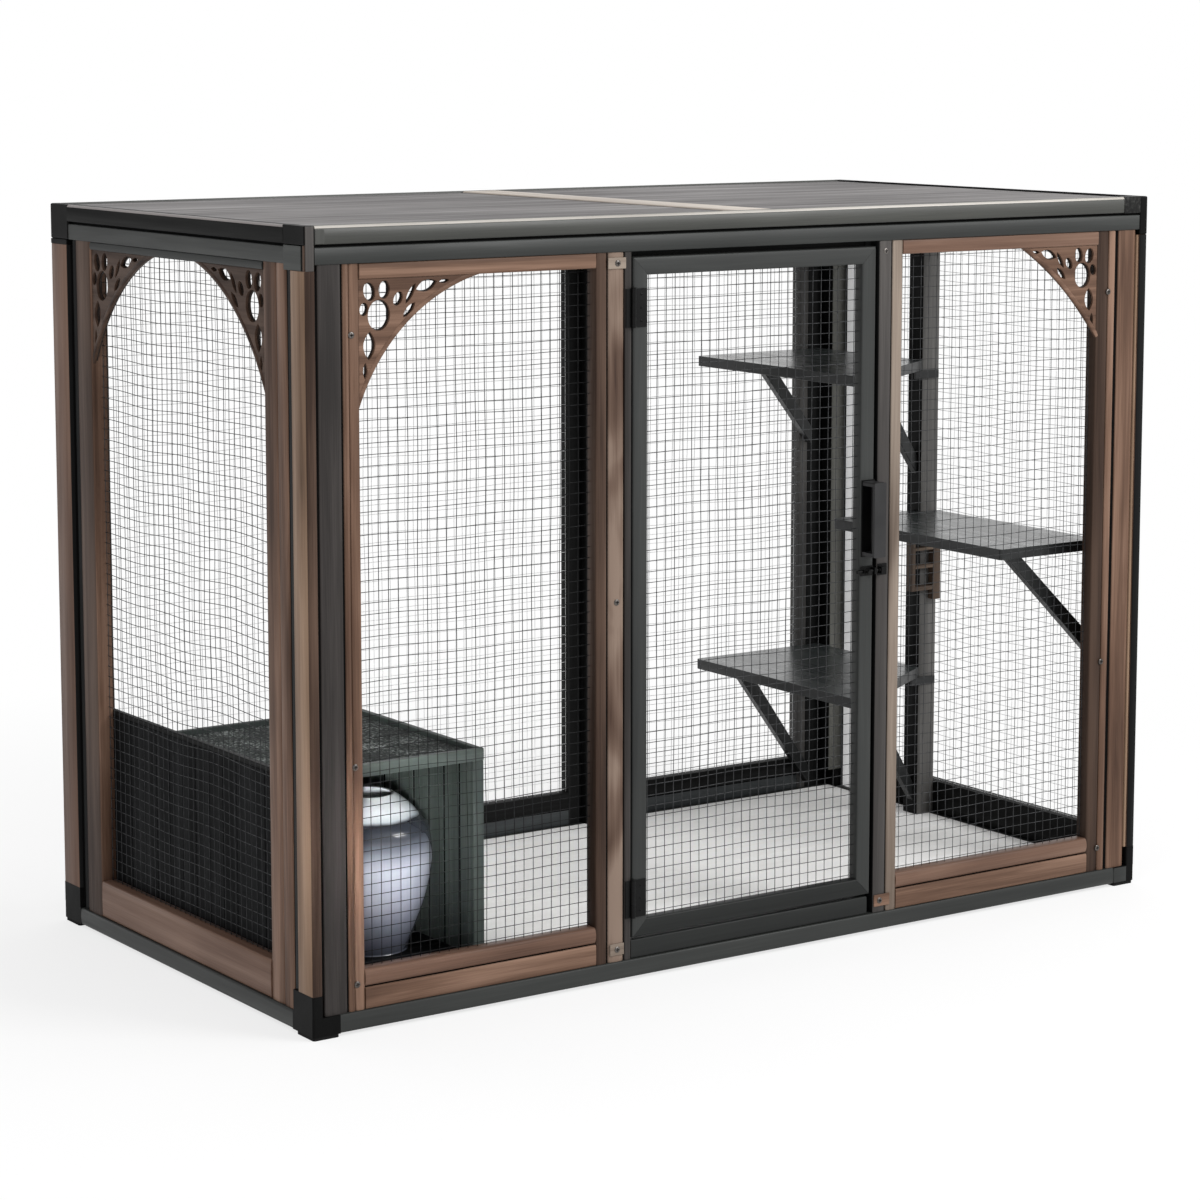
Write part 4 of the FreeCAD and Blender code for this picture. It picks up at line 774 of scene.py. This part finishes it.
# ---------------------------------------------------------------- pierced arch plates
def ellipse(c, ha, hd, turn=0.0, n=28):
    out = []
    for i in range(n):
        t = 2 * math.pi * i / n
        x, y = ha * math.cos(t), hd * math.sin(t)
        out.append((c[0] + x * math.cos(turn) - y * math.sin(turn), c[1] + x * math.sin(turn) + y * math.cos(turn)))
    return out


def leaf(c, half, wide, turn, n=12):
    """A pointed leaf: two bowed sides meeting at both tips."""
    out = []
    for side in (1, -1):
        for i in range(n):
            t = i / n
            x = -half + 2 * half * t
            y = wide * math.sin(math.pi * t) ** 0.85
            if side < 0:
                x, y = -x, -y
            out.append((c[0] + x * math.cos(turn) - y * math.sin(turn), c[1] + x * math.sin(turn) + y * math.cos(turn)))
    return out


def shrink(ring, d):
    cx = sum(p[0] for p in ring) / len(ring)
    cy = sum(p[1] for p in ring) / len(ring)
    out = []
    for x, y in ring:
        v = Vector((x - cx, y - cy))
        ln = v.length
        v = v * (max(ln - d, ln * 0.3) / ln)
        out.append((cx + v.x, cy + v.y))
    return out


def plate_mesh(outer, holes, thick, bevel):
    cu = bpy.data.curves.new("plate_curve", "CURVE")
    cu.dimensions = "2D"
    cu.fill_mode = "BOTH"
    cu.extrude = thick / 2 - bevel
    cu.bevel_depth = bevel
    cu.bevel_resolution = 1
    cu.offset = -bevel
    for ring in [outer] + holes:
        sp = cu.splines.new("POLY")
        sp.points.add(len(ring) - 1)
        for pt, (x, y) in zip(sp.points, ring):
            pt.co = (x, y, 0, 1)
        sp.use_cyclic_u = True
    ob = bpy.data.objects.new("plate_tmp", cu)
    bpy.context.scene.collection.objects.link(ob)
    dg = bpy.context.evaluated_depsgraph_get()
    me = bpy.data.meshes.new_from_object(ob.evaluated_get(dg))
    bpy.data.objects.remove(ob)
    bpy.data.curves.remove(cu)
    return me


def arch_ring(wide, tall, bow, over, under, n=40, inset=0.0):
    """Corner at 0,0, a to the right, d downwards: top edge, side edge and the bowed edge between them."""
    a_end = over - math.sqrt(max(0.0, (bow + inset) ** 2 - under ** 2))
    d_end = under - math.sqrt(max(0.0, (bow + inset) ** 2 - over ** 2))
    a_end, d_end = min(wide, a_end), min(tall, d_end)
    t0 = math.atan2(under - d_end, over - 0.0)
    t1 = math.atan2(under - 0.0, over - a_end)
    pts = [(0.0, 0.0)]
    for i in range(n + 1):
        t = t0 + (t1 - t0) * i / n
        a, d = over - (bow + inset) * math.cos(t), under - (bow + inset) * math.sin(t)
        pts.append((max(a, 0.0), max(d, 0.0)))
    return pts


HOLES = [
    ellipse((52, 80), 28.0, 34.0, 0.1),
    ellipse((14, 66), 10.5, 14.5, 0.2),
    ellipse((28, 28), 14.5, 20.5, -0.25),
    ellipse((66, 25), 13.5, 20.0, 0.12),
    ellipse((101, 46), 10.5, 16.5, 0.5),
    leaf((133, 36), 25, 6.5, 2.1),
    leaf((174, 20), 28, 12.5, -0.3),
    leaf((129, 72), 22, 7.5, -0.8),
    leaf((27, 146), 31, 15, 1.62),
    leaf((220, 12), 13, 4.5, -0.1),
    leaf((16, 201), 18, 5.5, 1.6),
]


def spandrel(name, along, corner, side, head, bow, seat, scale=1.0):
    """One pierced plate with a darker backing that rims each piercing, partly a real backing and partly painted shade
    on the hole walls, and a bead on the arch.
    """
    wide, tall, r, over, under = bow
    holes = [[(a * scale, d * scale) for a, d in ring] for ring in HOLES]
    objs = []

    def to_world(a, d, depth):
        if along == "x":
            return wp(corner + side * a, seat + depth, head - d)
        return wp(seat + depth, corner + side * a, head - d)

    def put(me, depth, mat, tag):
        bm = bmesh.new()
        for v in me.vertices:
            bm.verts.new(to_world(v.co.x * 1000, -v.co.y * 1000, depth + v.co.z * 1000))
        bm.verts.ensure_lookup_table()
        for p in me.polygons:
            try:
                bm.faces.new([bm.verts[i] for i in p.vertices])
            except ValueError:
                pass
        bmesh.ops.remove_doubles(bm, verts=bm.verts[:], dist=1e-6)
        return bm

    def mm(rings):
        return [[(a / 1000.0, -d / 1000.0) for a, d in ring] for ring in rings]

    outer = arch_ring(wide, tall, r, over, under)
    front = plate_mesh(mm([outer])[0], mm(holes), 0.007, 0.0011)
    back = plate_mesh(mm([arch_ring(wide, tall, r, over, under, inset=3.0)])[0], mm([shrink(h, 2.6) for h in holes]), 0.0046, 0.0003)
    out = [(put(front, 3.5, 0, "f"), 0), (put(back, 9.4, 1, "b"), 1)]
    # bead along the bowed edge
    ring = [p for p in outer[1:]]
    bm = bmesh.new()
    rows = []
    for i, (a, d) in enumerate(ring):
        n = Vector((over - a, under - d))
        n = -n / n.length
        row = []
        for j in range(7):
            t = math.pi * j / 6
            w, h = 6.0 + 5.6 * math.cos(t), -2.2 * math.sin(t)
            row.append(bm.verts.new(to_world(a + n.x * w, d + n.y * w, h + 0.4)))
        rows.append(row)
    for p, q in zip(rows, rows[1:]):
        for j in range(6):
            bm.faces.new((p[j], p[j + 1], q[j + 1], q[j]))
        bm.faces.new((p[6], p[0], q[0], q[6]))
    bm.faces.new(rows[0])
    bm.faces.new(rows[-1][::-1])
    out.append((bm, 0))
    return out


FRONT_BOW = (313, 283, 446, 420, 433)
FLAT_BOW = (254, 235, 871, 707, 744)
SIDE_BOW = (326, 275, 527, 474, 506)
for label, node, items in (
        ("front_pierced_corners", "front_spandrels",
         [("fl", "x", 139, 1, 1680, FRONT_BOW, 1.0), ("fr", "x", 2310, -1, 1680, FLAT_BOW, 0.94)]),
        ("left_pierced_corners", "left_spandrels",
         [("ln", "y", 201, 1, 1696, SIDE_BOW, 1.05), ("lf", "y", 1055, -1, 1696, SIDE_BOW, 1.05)])):
    # The left side plates take the darker bronze as painted shade.
    b = Build(BRONZE if node == "front_spandrels" else BRONZE_PAINTED_SHADE, PIERCED_DARK)
    for tag, along, corner, side, head, bow, sc in items:
        for bm, mat in spandrel(label + tag, along, corner, side, head, bow, 11, sc):
            b.take(bm, along, mat)
    b.done(label, "enclosure", "bronze_wood", node)

# ---------------------------------------------------------------- shelves
def slab(b, pts, z0, z1, r, mat=0):
    bm = bmesh.new()
    sec = rounded(pts, r, 3)
    lo = [bm.verts.new(wp(x, y, z0)) for x, y in sec]
    hi = [bm.verts.new(wp(x, y, z1)) for x, y in sec]
    k = len(sec)
    caps = [bm.faces.new(lo[::-1]), bm.faces.new(hi)]
    for i in range(k):
        bm.faces.new((lo[i], lo[(i + 1) % k], hi[(i + 1) % k], hi[i]))
    rim = list({e for f in caps for e in f.edges})
    bmesh.ops.bevel(bm, geom=rim, offset=0.003, segments=3, profile=0.5, affect="EDGES", clamp_overlap=True)
    # Upward faces take the lighter, glossier stain as a painted sheen.
    b.take(bm, "y", mat, lambda f: 1 if f.normal.z > 0.6 else 0)


LEDGE = [(1933, 490), (2366, 755), (2366, 1210), (1933, 1210)]
b = Build(SHELF, SHELF_TOP_PAINTED_SHEEN)
for level in (1325, 469):
    slab(b, LEDGE, level - 28, level, [8, 1, 1, 8])
b.done("corner_shelf_slabs", "enclosure", "shelf_board", "corner_shelves")
b = Build(SHELF, SHELF_TOP_PAINTED_SHEEN)
slab(b, [(2087, 107), (2426, 107), (2426, 753), (2364, 753), (2364, 793), (2087, 793)], 877, 905, [8, 1, 1, 1, 1, 8])
b.done("middle_shelf_slab", "enclosure", "shelf_board", "middle_shelf")


def brace(b, x_top, x_foot, y, z_top, drop):
    t = 38.0
    sec = [(x_top, z_top), (x_foot, z_top - drop), (x_foot, z_top - drop + t * 1.35), (x_top + t * 1.25, z_top)]
    b.take(extrude(rounded(sec, 1.2, 2), "y", y, y + 24, 1.2), "z", 0)


b = Build(SHELF)
brace(b, 2126, 2320, 1186, 1297, 242)
brace(b, 2170, 2366, 772, 1297, 290)
brace(b, 2042, 2320, 1186, 441, 375)
brace(b, 2140, 2366, 772, 441, 355)
brace(b, 2128, 2426, 130, 877, 285)
b.done("shelf_brace_bars", "enclosure", "shelf_board", "shelf_braces")
b = Build(RUST)
z0 = 877 - 217
for lo, hi, ax in (((2296, 180), (2424, 217), "x"), ((2318, 28), (2332, 180), "z"), ((2396, 0), (2422, 180), "z"),
                   ((2332, 28), (2396, 40), "x"), ((2332, 90), (2396, 100), "x"), ((2332, 140), (2396, 148), "x"),
                   ((2332, 176), (2396, 180), "x")):
    board(b, (lo[0], 733, z0 + lo[1]), (hi[0], 755, z0 + hi[1]), ax, 1.2)
b.done("shelf_corbel_bars", "enclosure", "rusty_wood", "shelf_corbel")
b = Build(SHELF)
for z in (1297, 441):
    board(b, (2336, 749, z - 22), (2420, 755, z), "x", 1.0)
b.done("shelf_cleat_bars", "enclosure", "shelf_board", "shelf_cleats")

# ---------------------------------------------------------------- floor, skirt
b = Build(FLOORBOARD, JOINT)
rows = 8
for k in range(rows):
    y0, y1 = 61 + 1134.0 * k / rows, 61 + 1134.0 * (k + 1) / rows
    pad = 11 if k in (0, rows - 1) else 0
    board(b, (61 + pad, y0 + (0.5 if k else 0), 38.5), (2411 - pad, y1 - (0.5 if k < rows - 1 else 0), 50), "x", 0.8, 1)
b.done("floor_boards", "enclosure", "pale_floor", "floor_panel")
b = Build(BLACK_WOOD)
for x in (400, 1216, 2032):
    board(b, (x, 60, 8), (x + 40, 1196, 38), "y", 1.5)
b.done("floor_bearer_bars", "enclosure", "black_wood", "floor_bearers")

# ---------------------------------------------------------------- den
DX0, DX1, DY0, DY1, DB, DT = 61.0, 584.0, 210.0, 792.0, 50.0, 555.0
b = Build(DEN, JOINT)
member(b, "z", (DX0, DY0, DB), (DX0 + 30, DY0 + 16, DT - 30), "-y", r=2.0, crown=0.4)
member(b, "z", (DX1 - 30, DY0, DB), (DX1, DY0 + 16, DT - 30), "-y", r=2.0, crown=0.4)
member(b, "x", (DX0, DY0, DT - 29.6), (DX1, DY0 + 16, DT), "-y", r=2.0, crown=0.4)
member(b, "x", (DX0 + 30.4, DY0, DB), (DX1 - 30.4, DY0 + 16, 66), "-y", r=2.0, crown=0.4)
b.done("den_front_members", "enclosure", "den_board", "den_front", weighted=False)


def plank_wall(b, lo, hi, run, count, thick_axis, pick=None):
    """Upright planks with dark joints between them, a rim along the top."""
    i = 0 if run == "x" else 1
    span = (hi[i] - lo[i]) / count
    for k in range(count):
        p, q = list(lo), list(hi)
        p[i] = lo[i] + span * k + (4.4 if k else 0)
        q[i] = lo[i] + span * (k + 1) - (4.4 if k < count - 1 else 0)
        q[2] = hi[2] - 30
        board(b, p, q, "z", 1.4, 2, pick=pick)
    p, q = list(lo), list(hi)
    j = 1 - i
    p[j] += 2
    q[j] -= 2
    q[2] = hi[2] - 20
    board(b, p, q, "z", 0, mat=len(b.mats) - 1)
    p, q = list(lo), list(hi)
    p[2] = hi[2] - 29.4
    board(b, p, q, run, 2.0, 3, mat=len(b.mats) - 2)


b = Build(DEN_DARK, DEN_PLANK, DEN, JOINT)
plank_wall(b, (DX0, DY0 + 16, DB), (DX0 + 16, DY1 - 16, DT), "y", 8, "x", two_tone((-1, 0, 0), 0, 1))
plank_wall(b, (DX1 - 16, DY0 + 16, DB), (DX1, DY1 - 16, DT), "y", 8, "x", lambda f: 1)
b.done("den_side_planks", "enclosure", "den_board", "den_side_walls")
b = Build(DEN_PLANK, DEN, JOINT)
plank_wall(b, (DX0, DY1 - 16, DB), (DX1, DY1, DT), "x", 7, "y")
b.done("den_back_planks", "enclosure", "den_board", "den_back_wall")
b = Build(DEN_DARK)
for k in range(4):
    y0 = DY0 + 16 + (DY1 - DY0 - 32) * k / 4
    board(b, (DX0 + 16, y0 + 0.8, DB), (DX1 - 16, y0 + (DY1 - DY0 - 32) / 4 - 0.8, DB + 4), "x", 0.8)
b.done("den_floor_planks", "enclosure", "den_board", "den_floor")
b = Build(DEN_DARK)
board(b, (DX0 + 16, DY0 + 16, DT - 30), (DX1 - 16, DY1 - 16, DT - 14), "y", 1.0)
b.done("den_top_panel", "enclosure", "den_board", "den_top")
b = Build(DEN_DARK, BLACK_WOOD, JOINT)
for k in range(16):
    y0, y1 = 92 + 67.0 * k, 92 + 67.0 * (k + 1)
    board(b, (46.2, y0 + 0.9, 50), (59.6, y1 - 0.9, 553), "z", 1.4, 2)
board(b, (48, 93, 51), (58.5, 1163, 556), "z", 0, mat=2)
board(b, (46, 92, 553.4), (60, 1164, 565), "y", 2.0, 3, mat=1)
b.done("side_skirt_planks", "enclosure", "black_wood", "side_skirt")

# matting with a rough pile surface
bm = bmesh.new()
nx, ny = 92, 108
x0, x1, y0, y1 = DX0 + 18, DX1 - 18, DY0 + 18, DY1 - 18


def pile(i, j):
    return 3.1 + 0.9 * math.sin(i * 12.9898 + j * 78.233) * math.sin(i * 3.7 + j * 5.3) + 0.5 * math.sin(i * 0.31) * math.cos(j * 0.27)


grid = [[bm.verts.new(wp(x0 + (x1 - x0) * i / nx, y0 + (y1 - y0) * j / ny, DT - 14 + (pile(i, j) if 0 < i < nx and 0 < j < ny else 2.6)))
         for j in range(ny + 1)] for i in range(nx + 1)]
for i in range(nx):
    for j in range(ny):
        bm.faces.new((grid[i][j], grid[i + 1][j], grid[i + 1][j + 1], grid[i][j + 1]))
rim = [e for e in bm.edges if e.is_boundary]
ext = bmesh.ops.extrude_edge_only(bm, edges=rim)
for v in [g for g in ext["geom"] if isinstance(g, bmesh.types.BMVert)]:
    v.co.z = (DT - 14) / 1000.0
bmesh.ops.holes_fill(bm, edges=[e for e in bm.edges if e.is_boundary])
b = Build(MATTING)
b.take(bm, "y", 0)
b.done("den_top_matting", "enclosure", "den_matting", "den_top_mat", weighted=False, smooth=60)

# ---------------------------------------------------------------- urn
URN = [(0, 0), (82, 0), (89, 5), (95, 22), (109, 57), (130, 116), (142, 163), (150, 217), (149, 254), (142, 297),
       (124, 321), (100, 348), (77, 366), (66, 373), (60, 377), (54, 373), (66, 358), (90, 336), (116, 308), (131, 288), (138, 254),
       (139, 217), (131, 163), (119, 116), (98, 57), (84, 26), (78, 12), (0, 12)]


def smooth_line(pts, per=5):
    """Catmull-Rom through the points."""
    out = []
    for i in range(len(pts) - 1):
        p0, p1, p2, p3 = (Vector(pts[max(0, min(len(pts) - 1, j))]) for j in (i - 1, i, i + 1, i + 2))
        for k in range(per):
            t = k / per
            q = 0.5 * ((2 * p1) + (p2 - p0) * t + (2 * p0 - 5 * p1 + 4 * p2 - p3) * t * t + (3 * p1 - p0 - 3 * p2 + p3) * t ** 3)
            out.append((max(0.0, q.x), q.y))
    out.append(pts[-1])
    return out


m, nt, p = new_mat("urn_glaze")
tc = n_add(nt, "ShaderNodeTexCoord")
sep = n_add(nt, "ShaderNodeSeparateXYZ")
nt.links.new(tc.outputs["Object"], sep.inputs["Vector"])
wob = noise(nt, tc.outputs["Object"], (9, 9, 3), 3.0, 0.55)
drip = noise(nt, tc.outputs["Object"], (38, 38, 6), 3.0, 0.6, 0.2, (4, 1, 7))
height = math_node(nt, "ADD", sep.outputs["Z"], math_node(nt, "MULTIPLY", math_node(nt, "SUBTRACT", wob, 0.5), 0.016))
# Glaze by height: darker towards the foot as painted shade, a lavender body, a dark band below the shoulder, and a pale
# neck lightened as a painted reflection.
col = ramp(nt, map_range(nt, height, 0.03, 0.435, 0.0, 1.0), [
    (0.0, (0.06, 0.066, 0.085)), (0.16, (0.13, 0.14, 0.18)), (0.40, (0.34, 0.355, 0.425)), (0.60, (0.38, 0.395, 0.46)), (0.72, (0.11, 0.12, 0.147)),
    (0.78, (0.034, 0.038, 0.048)), (0.858, (0.022, 0.025, 0.032)), (0.874, (0.38, 0.42, 0.445)), (0.905, (0.56, 0.60, 0.62)), (1.0, (0.60, 0.635, 0.655))])
mixn = n_add(nt, "ShaderNodeMixRGB", blend_type="MULTIPLY")
mixn.inputs["Fac"].default_value = 0.35
nt.links.new(col, mixn.inputs["Color1"])
nt.links.new(ramp(nt, drip, [(0.35, (0.72, 0.73, 0.76)), (0.6, (1, 1, 1))]), mixn.inputs["Color2"])
nt.links.new(mixn.outputs["Color"], p.inputs["Base Color"])
nt.links.new(map_range(nt, drip, 0.3, 0.7, 0.2, 0.1), p.inputs["Roughness"])
p.inputs["Coat Weight"].default_value = 0.25
p.inputs["Coat Roughness"].default_value = 0.08
bump(nt, p, wob, 0.25, 0.001)
GLAZE = m
b = Build(GLAZE)
lathe(b, smooth_line(URN), (400, 430, 54), "+z", 96)
b.done("ceramic_urn_turned", "enclosure", "white_glaze", "ceramic_urn", weighted=False, smooth=50)


# ---------------------------------------------------------------- screws and small hardware
def screw(b, x, y, z, face="-y", r=5.0, h=2.0, mat=0, slot=1):
    """Pan head with a cross recess."""
    prof = [(r, 0.0), (r, h * 0.35), (r * 0.86, h * 0.72), (r * 0.55, h * 0.95), (0.0, h)]
    lathe(b, prof, (x, y, z), face, 18, mat)
    for w, t in ((r * 0.62, r * 0.12), (r * 0.12, r * 0.62)):
        if face[1] == "y":
            s = -1 if face[0] == "-" else 1
            y0, y1 = sorted((y + s * h * 0.55, y + s * (h + 0.06)))
            board(b, (x - w, y0, z - t), (x + w, y1, z + t), "z", 0, mat=slot)


b = Build(STEEL, JOINT)
for x, y, z in [(118, 7.6, 603), (118, 7.6, 1560), (118, 7.6, 110), (820, 2.8, 1690), (820, 2.8, 80), (820, 6.2, 905), (1613, 6.4, 1690),
                (1613, 2.8, 80), (2346, 6.4, 603), (2346, 6.4, 1560), (2346, 6.4, 110)]:
    screw(b, x, y, z, r=7.5, h=2.6)
b.done("frame_screw_heads", "enclosure", "steel_screw", "frame_screws")
b = Build(METAL, JOINT)
for z in (1541, 150):
    for dz in (14, 44.5, 75):
        screw(b, 887, 3.0, z + dz, r=3.2, h=1.0)
b.done("hinge_screw_heads", "door", "black_hardware")

# small bracket blocks with a screw, over the joints beside the door
b = Build(BRONZE_PALE, BRONZE)
for x0, x1, z0, z1, mat in ((794, 844, 1677, 1703, 0), (800, 840, 66, 94, 0), (1596, 1646, 65, 95, 1)):
    board(b, (x0, 2.6, z0), (x1, 6.2, z1), "x", 1.6, 3, mat=mat)
b.done("joint_bracket_blocks", "enclosure", "bronze_wood")

# black strips standing back in the joints between uprights: painted shadow in the gaps
b = Build(JOINT)
board(b, (26.3, 9, 100), (33.7, 39, 1702), "z", 0)
for x0, x1, y1 in ((92.3, 96.7, 39), (2371.3, 2379.7, 39), (793.3, 796.7, 45), (842.2, 842.8, 50), (1632.3, 1635.7, 45)):
    board(b, (x0, 10, 50.5), (x1, y1, 1714.5), "z", 0)
for x0, x1 in ((10, 44), (W - 44, W - 10)):
    board(b, (x0, 88.3, 50.4), (x1, 95.7, 1701), "z", 0)
    board(b, (x0, 1160.3, 50.4), (x1, 1167.7, 1701), "z", 0)
for x0, x1 in ((92.3, 95.7), (2376.3, 2379.7)):
    board(b, (x0, D - 44, 100.5), (x1, D - 10, 1701), "z", 0)
for x0, x1 in ((70.4, 95.6), (W - 95.6, W - 70.4)):
    board(b, (x0, D - 44, 50.4), (x1, D - 12, 99.6), "z", 0)
b.done("upright_painted_shadow_strips", "enclosure", "black_wood")

# top corner caps: a black upper block, the fascia's end below it, a strap on the left front corner, a cast plate on the right
b = Build(PLASTIC, FASCIA_GREY, JOINT, STRIKE_GREY, CAST_BLACK, BRONZE_PAINTED_SHADE, CHARCOAL_CAP)
board(b, (0, 2, 1758.5), (26, 96, 1800), "y", 2.0, 3)
board(b, (1.5, 20, 1702), (26, 96, 1756.5), "y", 1.5, 2, mat=1)
board(b, (4, 10.5, 1702), (26, 21, 1758.6), "z", 0, mat=2)
# A thin lip behind the strap, in the darker bronze as painted shade.
board(b, (0.6, 3.8, 1702), (26, 11, 1758), "z", 1.4, 2, mat=5)
board(b, (2.5, 0, 1702), (23.5, 4.2, 1799), "z", 1.2, 2, mat=3)
board(b, (26.2, 41, 1702), (92, 88, 1714.8), "x", 1.0, 1)
board(b, (26.4, -0.7, 1760), (50, 5, 1793), "z", 1.6, 2, mat=6)
board(b, (W - 26, 0, 1702), (W, 96, 1800), "z", 4.0, 3)
board(b, (W - 92, 41, 1702), (W - 26.2, 88, 1714.8), "x", 1.0, 1)
board(b, (W - 82, -1.4, 1757.5), (W - 25.6, 8, 1800.3), "x", 1.8, 2, mat=4)
for x0, x1, x2 in ((0, 26, 92), (W, W - 26, W - 92)):
    a, c = sorted((x0, x1))
    board(b, (a, D - 96, 1715), (c, D, 1800), "z", 4.0, 3)
    a, c = sorted((x0, x2))
    board(b, (a, D - 88, 1702), (c, D, 1714.8), "x", 2.0, 2)
b.done("top_corner_cap_blocks", "enclosure", "black_plastic", "top_corner_caps")

for n, mt in (("bottom_corner_shoes", PLASTIC), ("foot_pads", RUBBER), ("hinge_jamb_leaves", METAL),
              ("hinge_door_leaves", METAL), ("hinge_pins", METAL), ("pull_handle", PULL_GREY), ("pull_backplate", METAL), ("slide_bolt", METAL),
              ("bolt_guide", METAL), ("bolt_keeper", METAL)):
    o = NODES[n]
    o.data.materials.clear()
    o.data.materials.append(mt)

# ---------------------------------------------------------------- stage, light, camera
fm, nt, p = new_mat("studio_floor")
tc = n_add(nt, "ShaderNodeTexCoord")
ln = n_add(nt, "ShaderNodeVectorMath", operation="LENGTH")
nt.links.new(tc.outputs["Object"], ln.inputs[0])
far = map_range(nt, ln.outputs["Value"], 1.6, 3.4, 0.72, 1.0)
p.inputs["Base Color"].default_value = (0.9, 0.9, 0.9, 1)
p.inputs["Roughness"].default_value = 0.9
p.inputs["Specular IOR Level"].default_value = 0.0
em = n_add(nt, "ShaderNodeEmission")
em.inputs["Color"].default_value = (1, 1, 1, 1)
em.inputs["Strength"].default_value = 1.0
mx = n_add(nt, "ShaderNodeMixShader")
nt.links.new(far, mx.inputs["Fac"])
nt.links.new(p.outputs["BSDF"], mx.inputs[1])
nt.links.new(em.outputs["Emission"], mx.inputs[2])
nt.links.new(mx.outputs["Shader"], nt.nodes["Material Output"].inputs["Surface"])
bm = bmesh.new()
bmesh.ops.create_circle(bm, cap_ends=True, segments=96, radius=60.0)
me = bpy.data.meshes.new("studio_floor")
bm.to_mesh(me)
bm.free()
me.materials.append(fm)
floor = bpy.data.objects.new("studio_floor", me)
floor.location = (0, 0, -0.0005)
bpy.context.scene.collection.objects.link(floor)
floor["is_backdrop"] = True

scene = bpy.context.scene
world = bpy.data.worlds.new("studio")
scene.world = world
world.use_nodes = True
nt = world.node_tree
bg = nt.nodes["Background"]
tc = n_add(nt, "ShaderNodeTexCoord")
sep = n_add(nt, "ShaderNodeSeparateXYZ")
nt.links.new(tc.outputs["Generated"], sep.inputs["Vector"])
side = map_range(nt, sep.outputs["X"], -0.9, 0.15, 0.0, 1.0)
nt.links.new(ramp(nt, side, [(0.0, (0.42, 0.42, 0.43)), (1.0, (1.0, 1.0, 1.0))]), bg.inputs["Color"])
bg.inputs["Strength"].default_value = 1.0


def area(name, loc, target, size, power, col=(1, 1, 1)):
    li = bpy.data.lights.new(name, "AREA")
    li.shape = "RECTANGLE"
    li.size, li.size_y = size
    li.energy = power
    li.color = col
    ob = bpy.data.objects.new(name, li)
    ob.location = loc
    ob.rotation_mode = "QUATERNION"
    ob.rotation_quaternion = (Vector(target) - Vector(loc)).to_track_quat("-Z", "Y")
    scene.collection.objects.link(ob)
    return ob


area("key", (3.0, -5.4, 4.4), (0.1, -0.3, 0.8), (3.0, 2.4), 300)
den = area("den_light", (-2.4, -3.0, 0.75), (-0.67, -0.06, 0.345), (0.25, 0.25), 0.78)
den.data.spread = math.radians(10)
den.visible_glossy = False
area("fill", (-4.8, -3.0, 2.6), (-0.6, 0.0, 0.8), (2.5, 2.5), 45)

scene.view_settings.view_transform = "Standard"
scene.view_settings.look = "None"
scene.view_settings.exposure = 0.0
scene.view_settings.gamma = 1.0

cam = bpy.data.cameras.new("view")
cam.sensor_width = 36.0
cam.sensor_fit = "HORIZONTAL"
cam.lens = 99.33
cam.shift_x, cam.shift_y = 0.0045, -0.10
cam.clip_end = 200.0
co = bpy.data.objects.new("view", cam)
co.location = (-4.742, -6.797, 2.190)
co.rotation_euler = (math.radians(90.0 - 7.532), 0.0, math.radians(-34.531))
scene.collection.objects.link(co)
scene.camera = co

lo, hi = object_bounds()
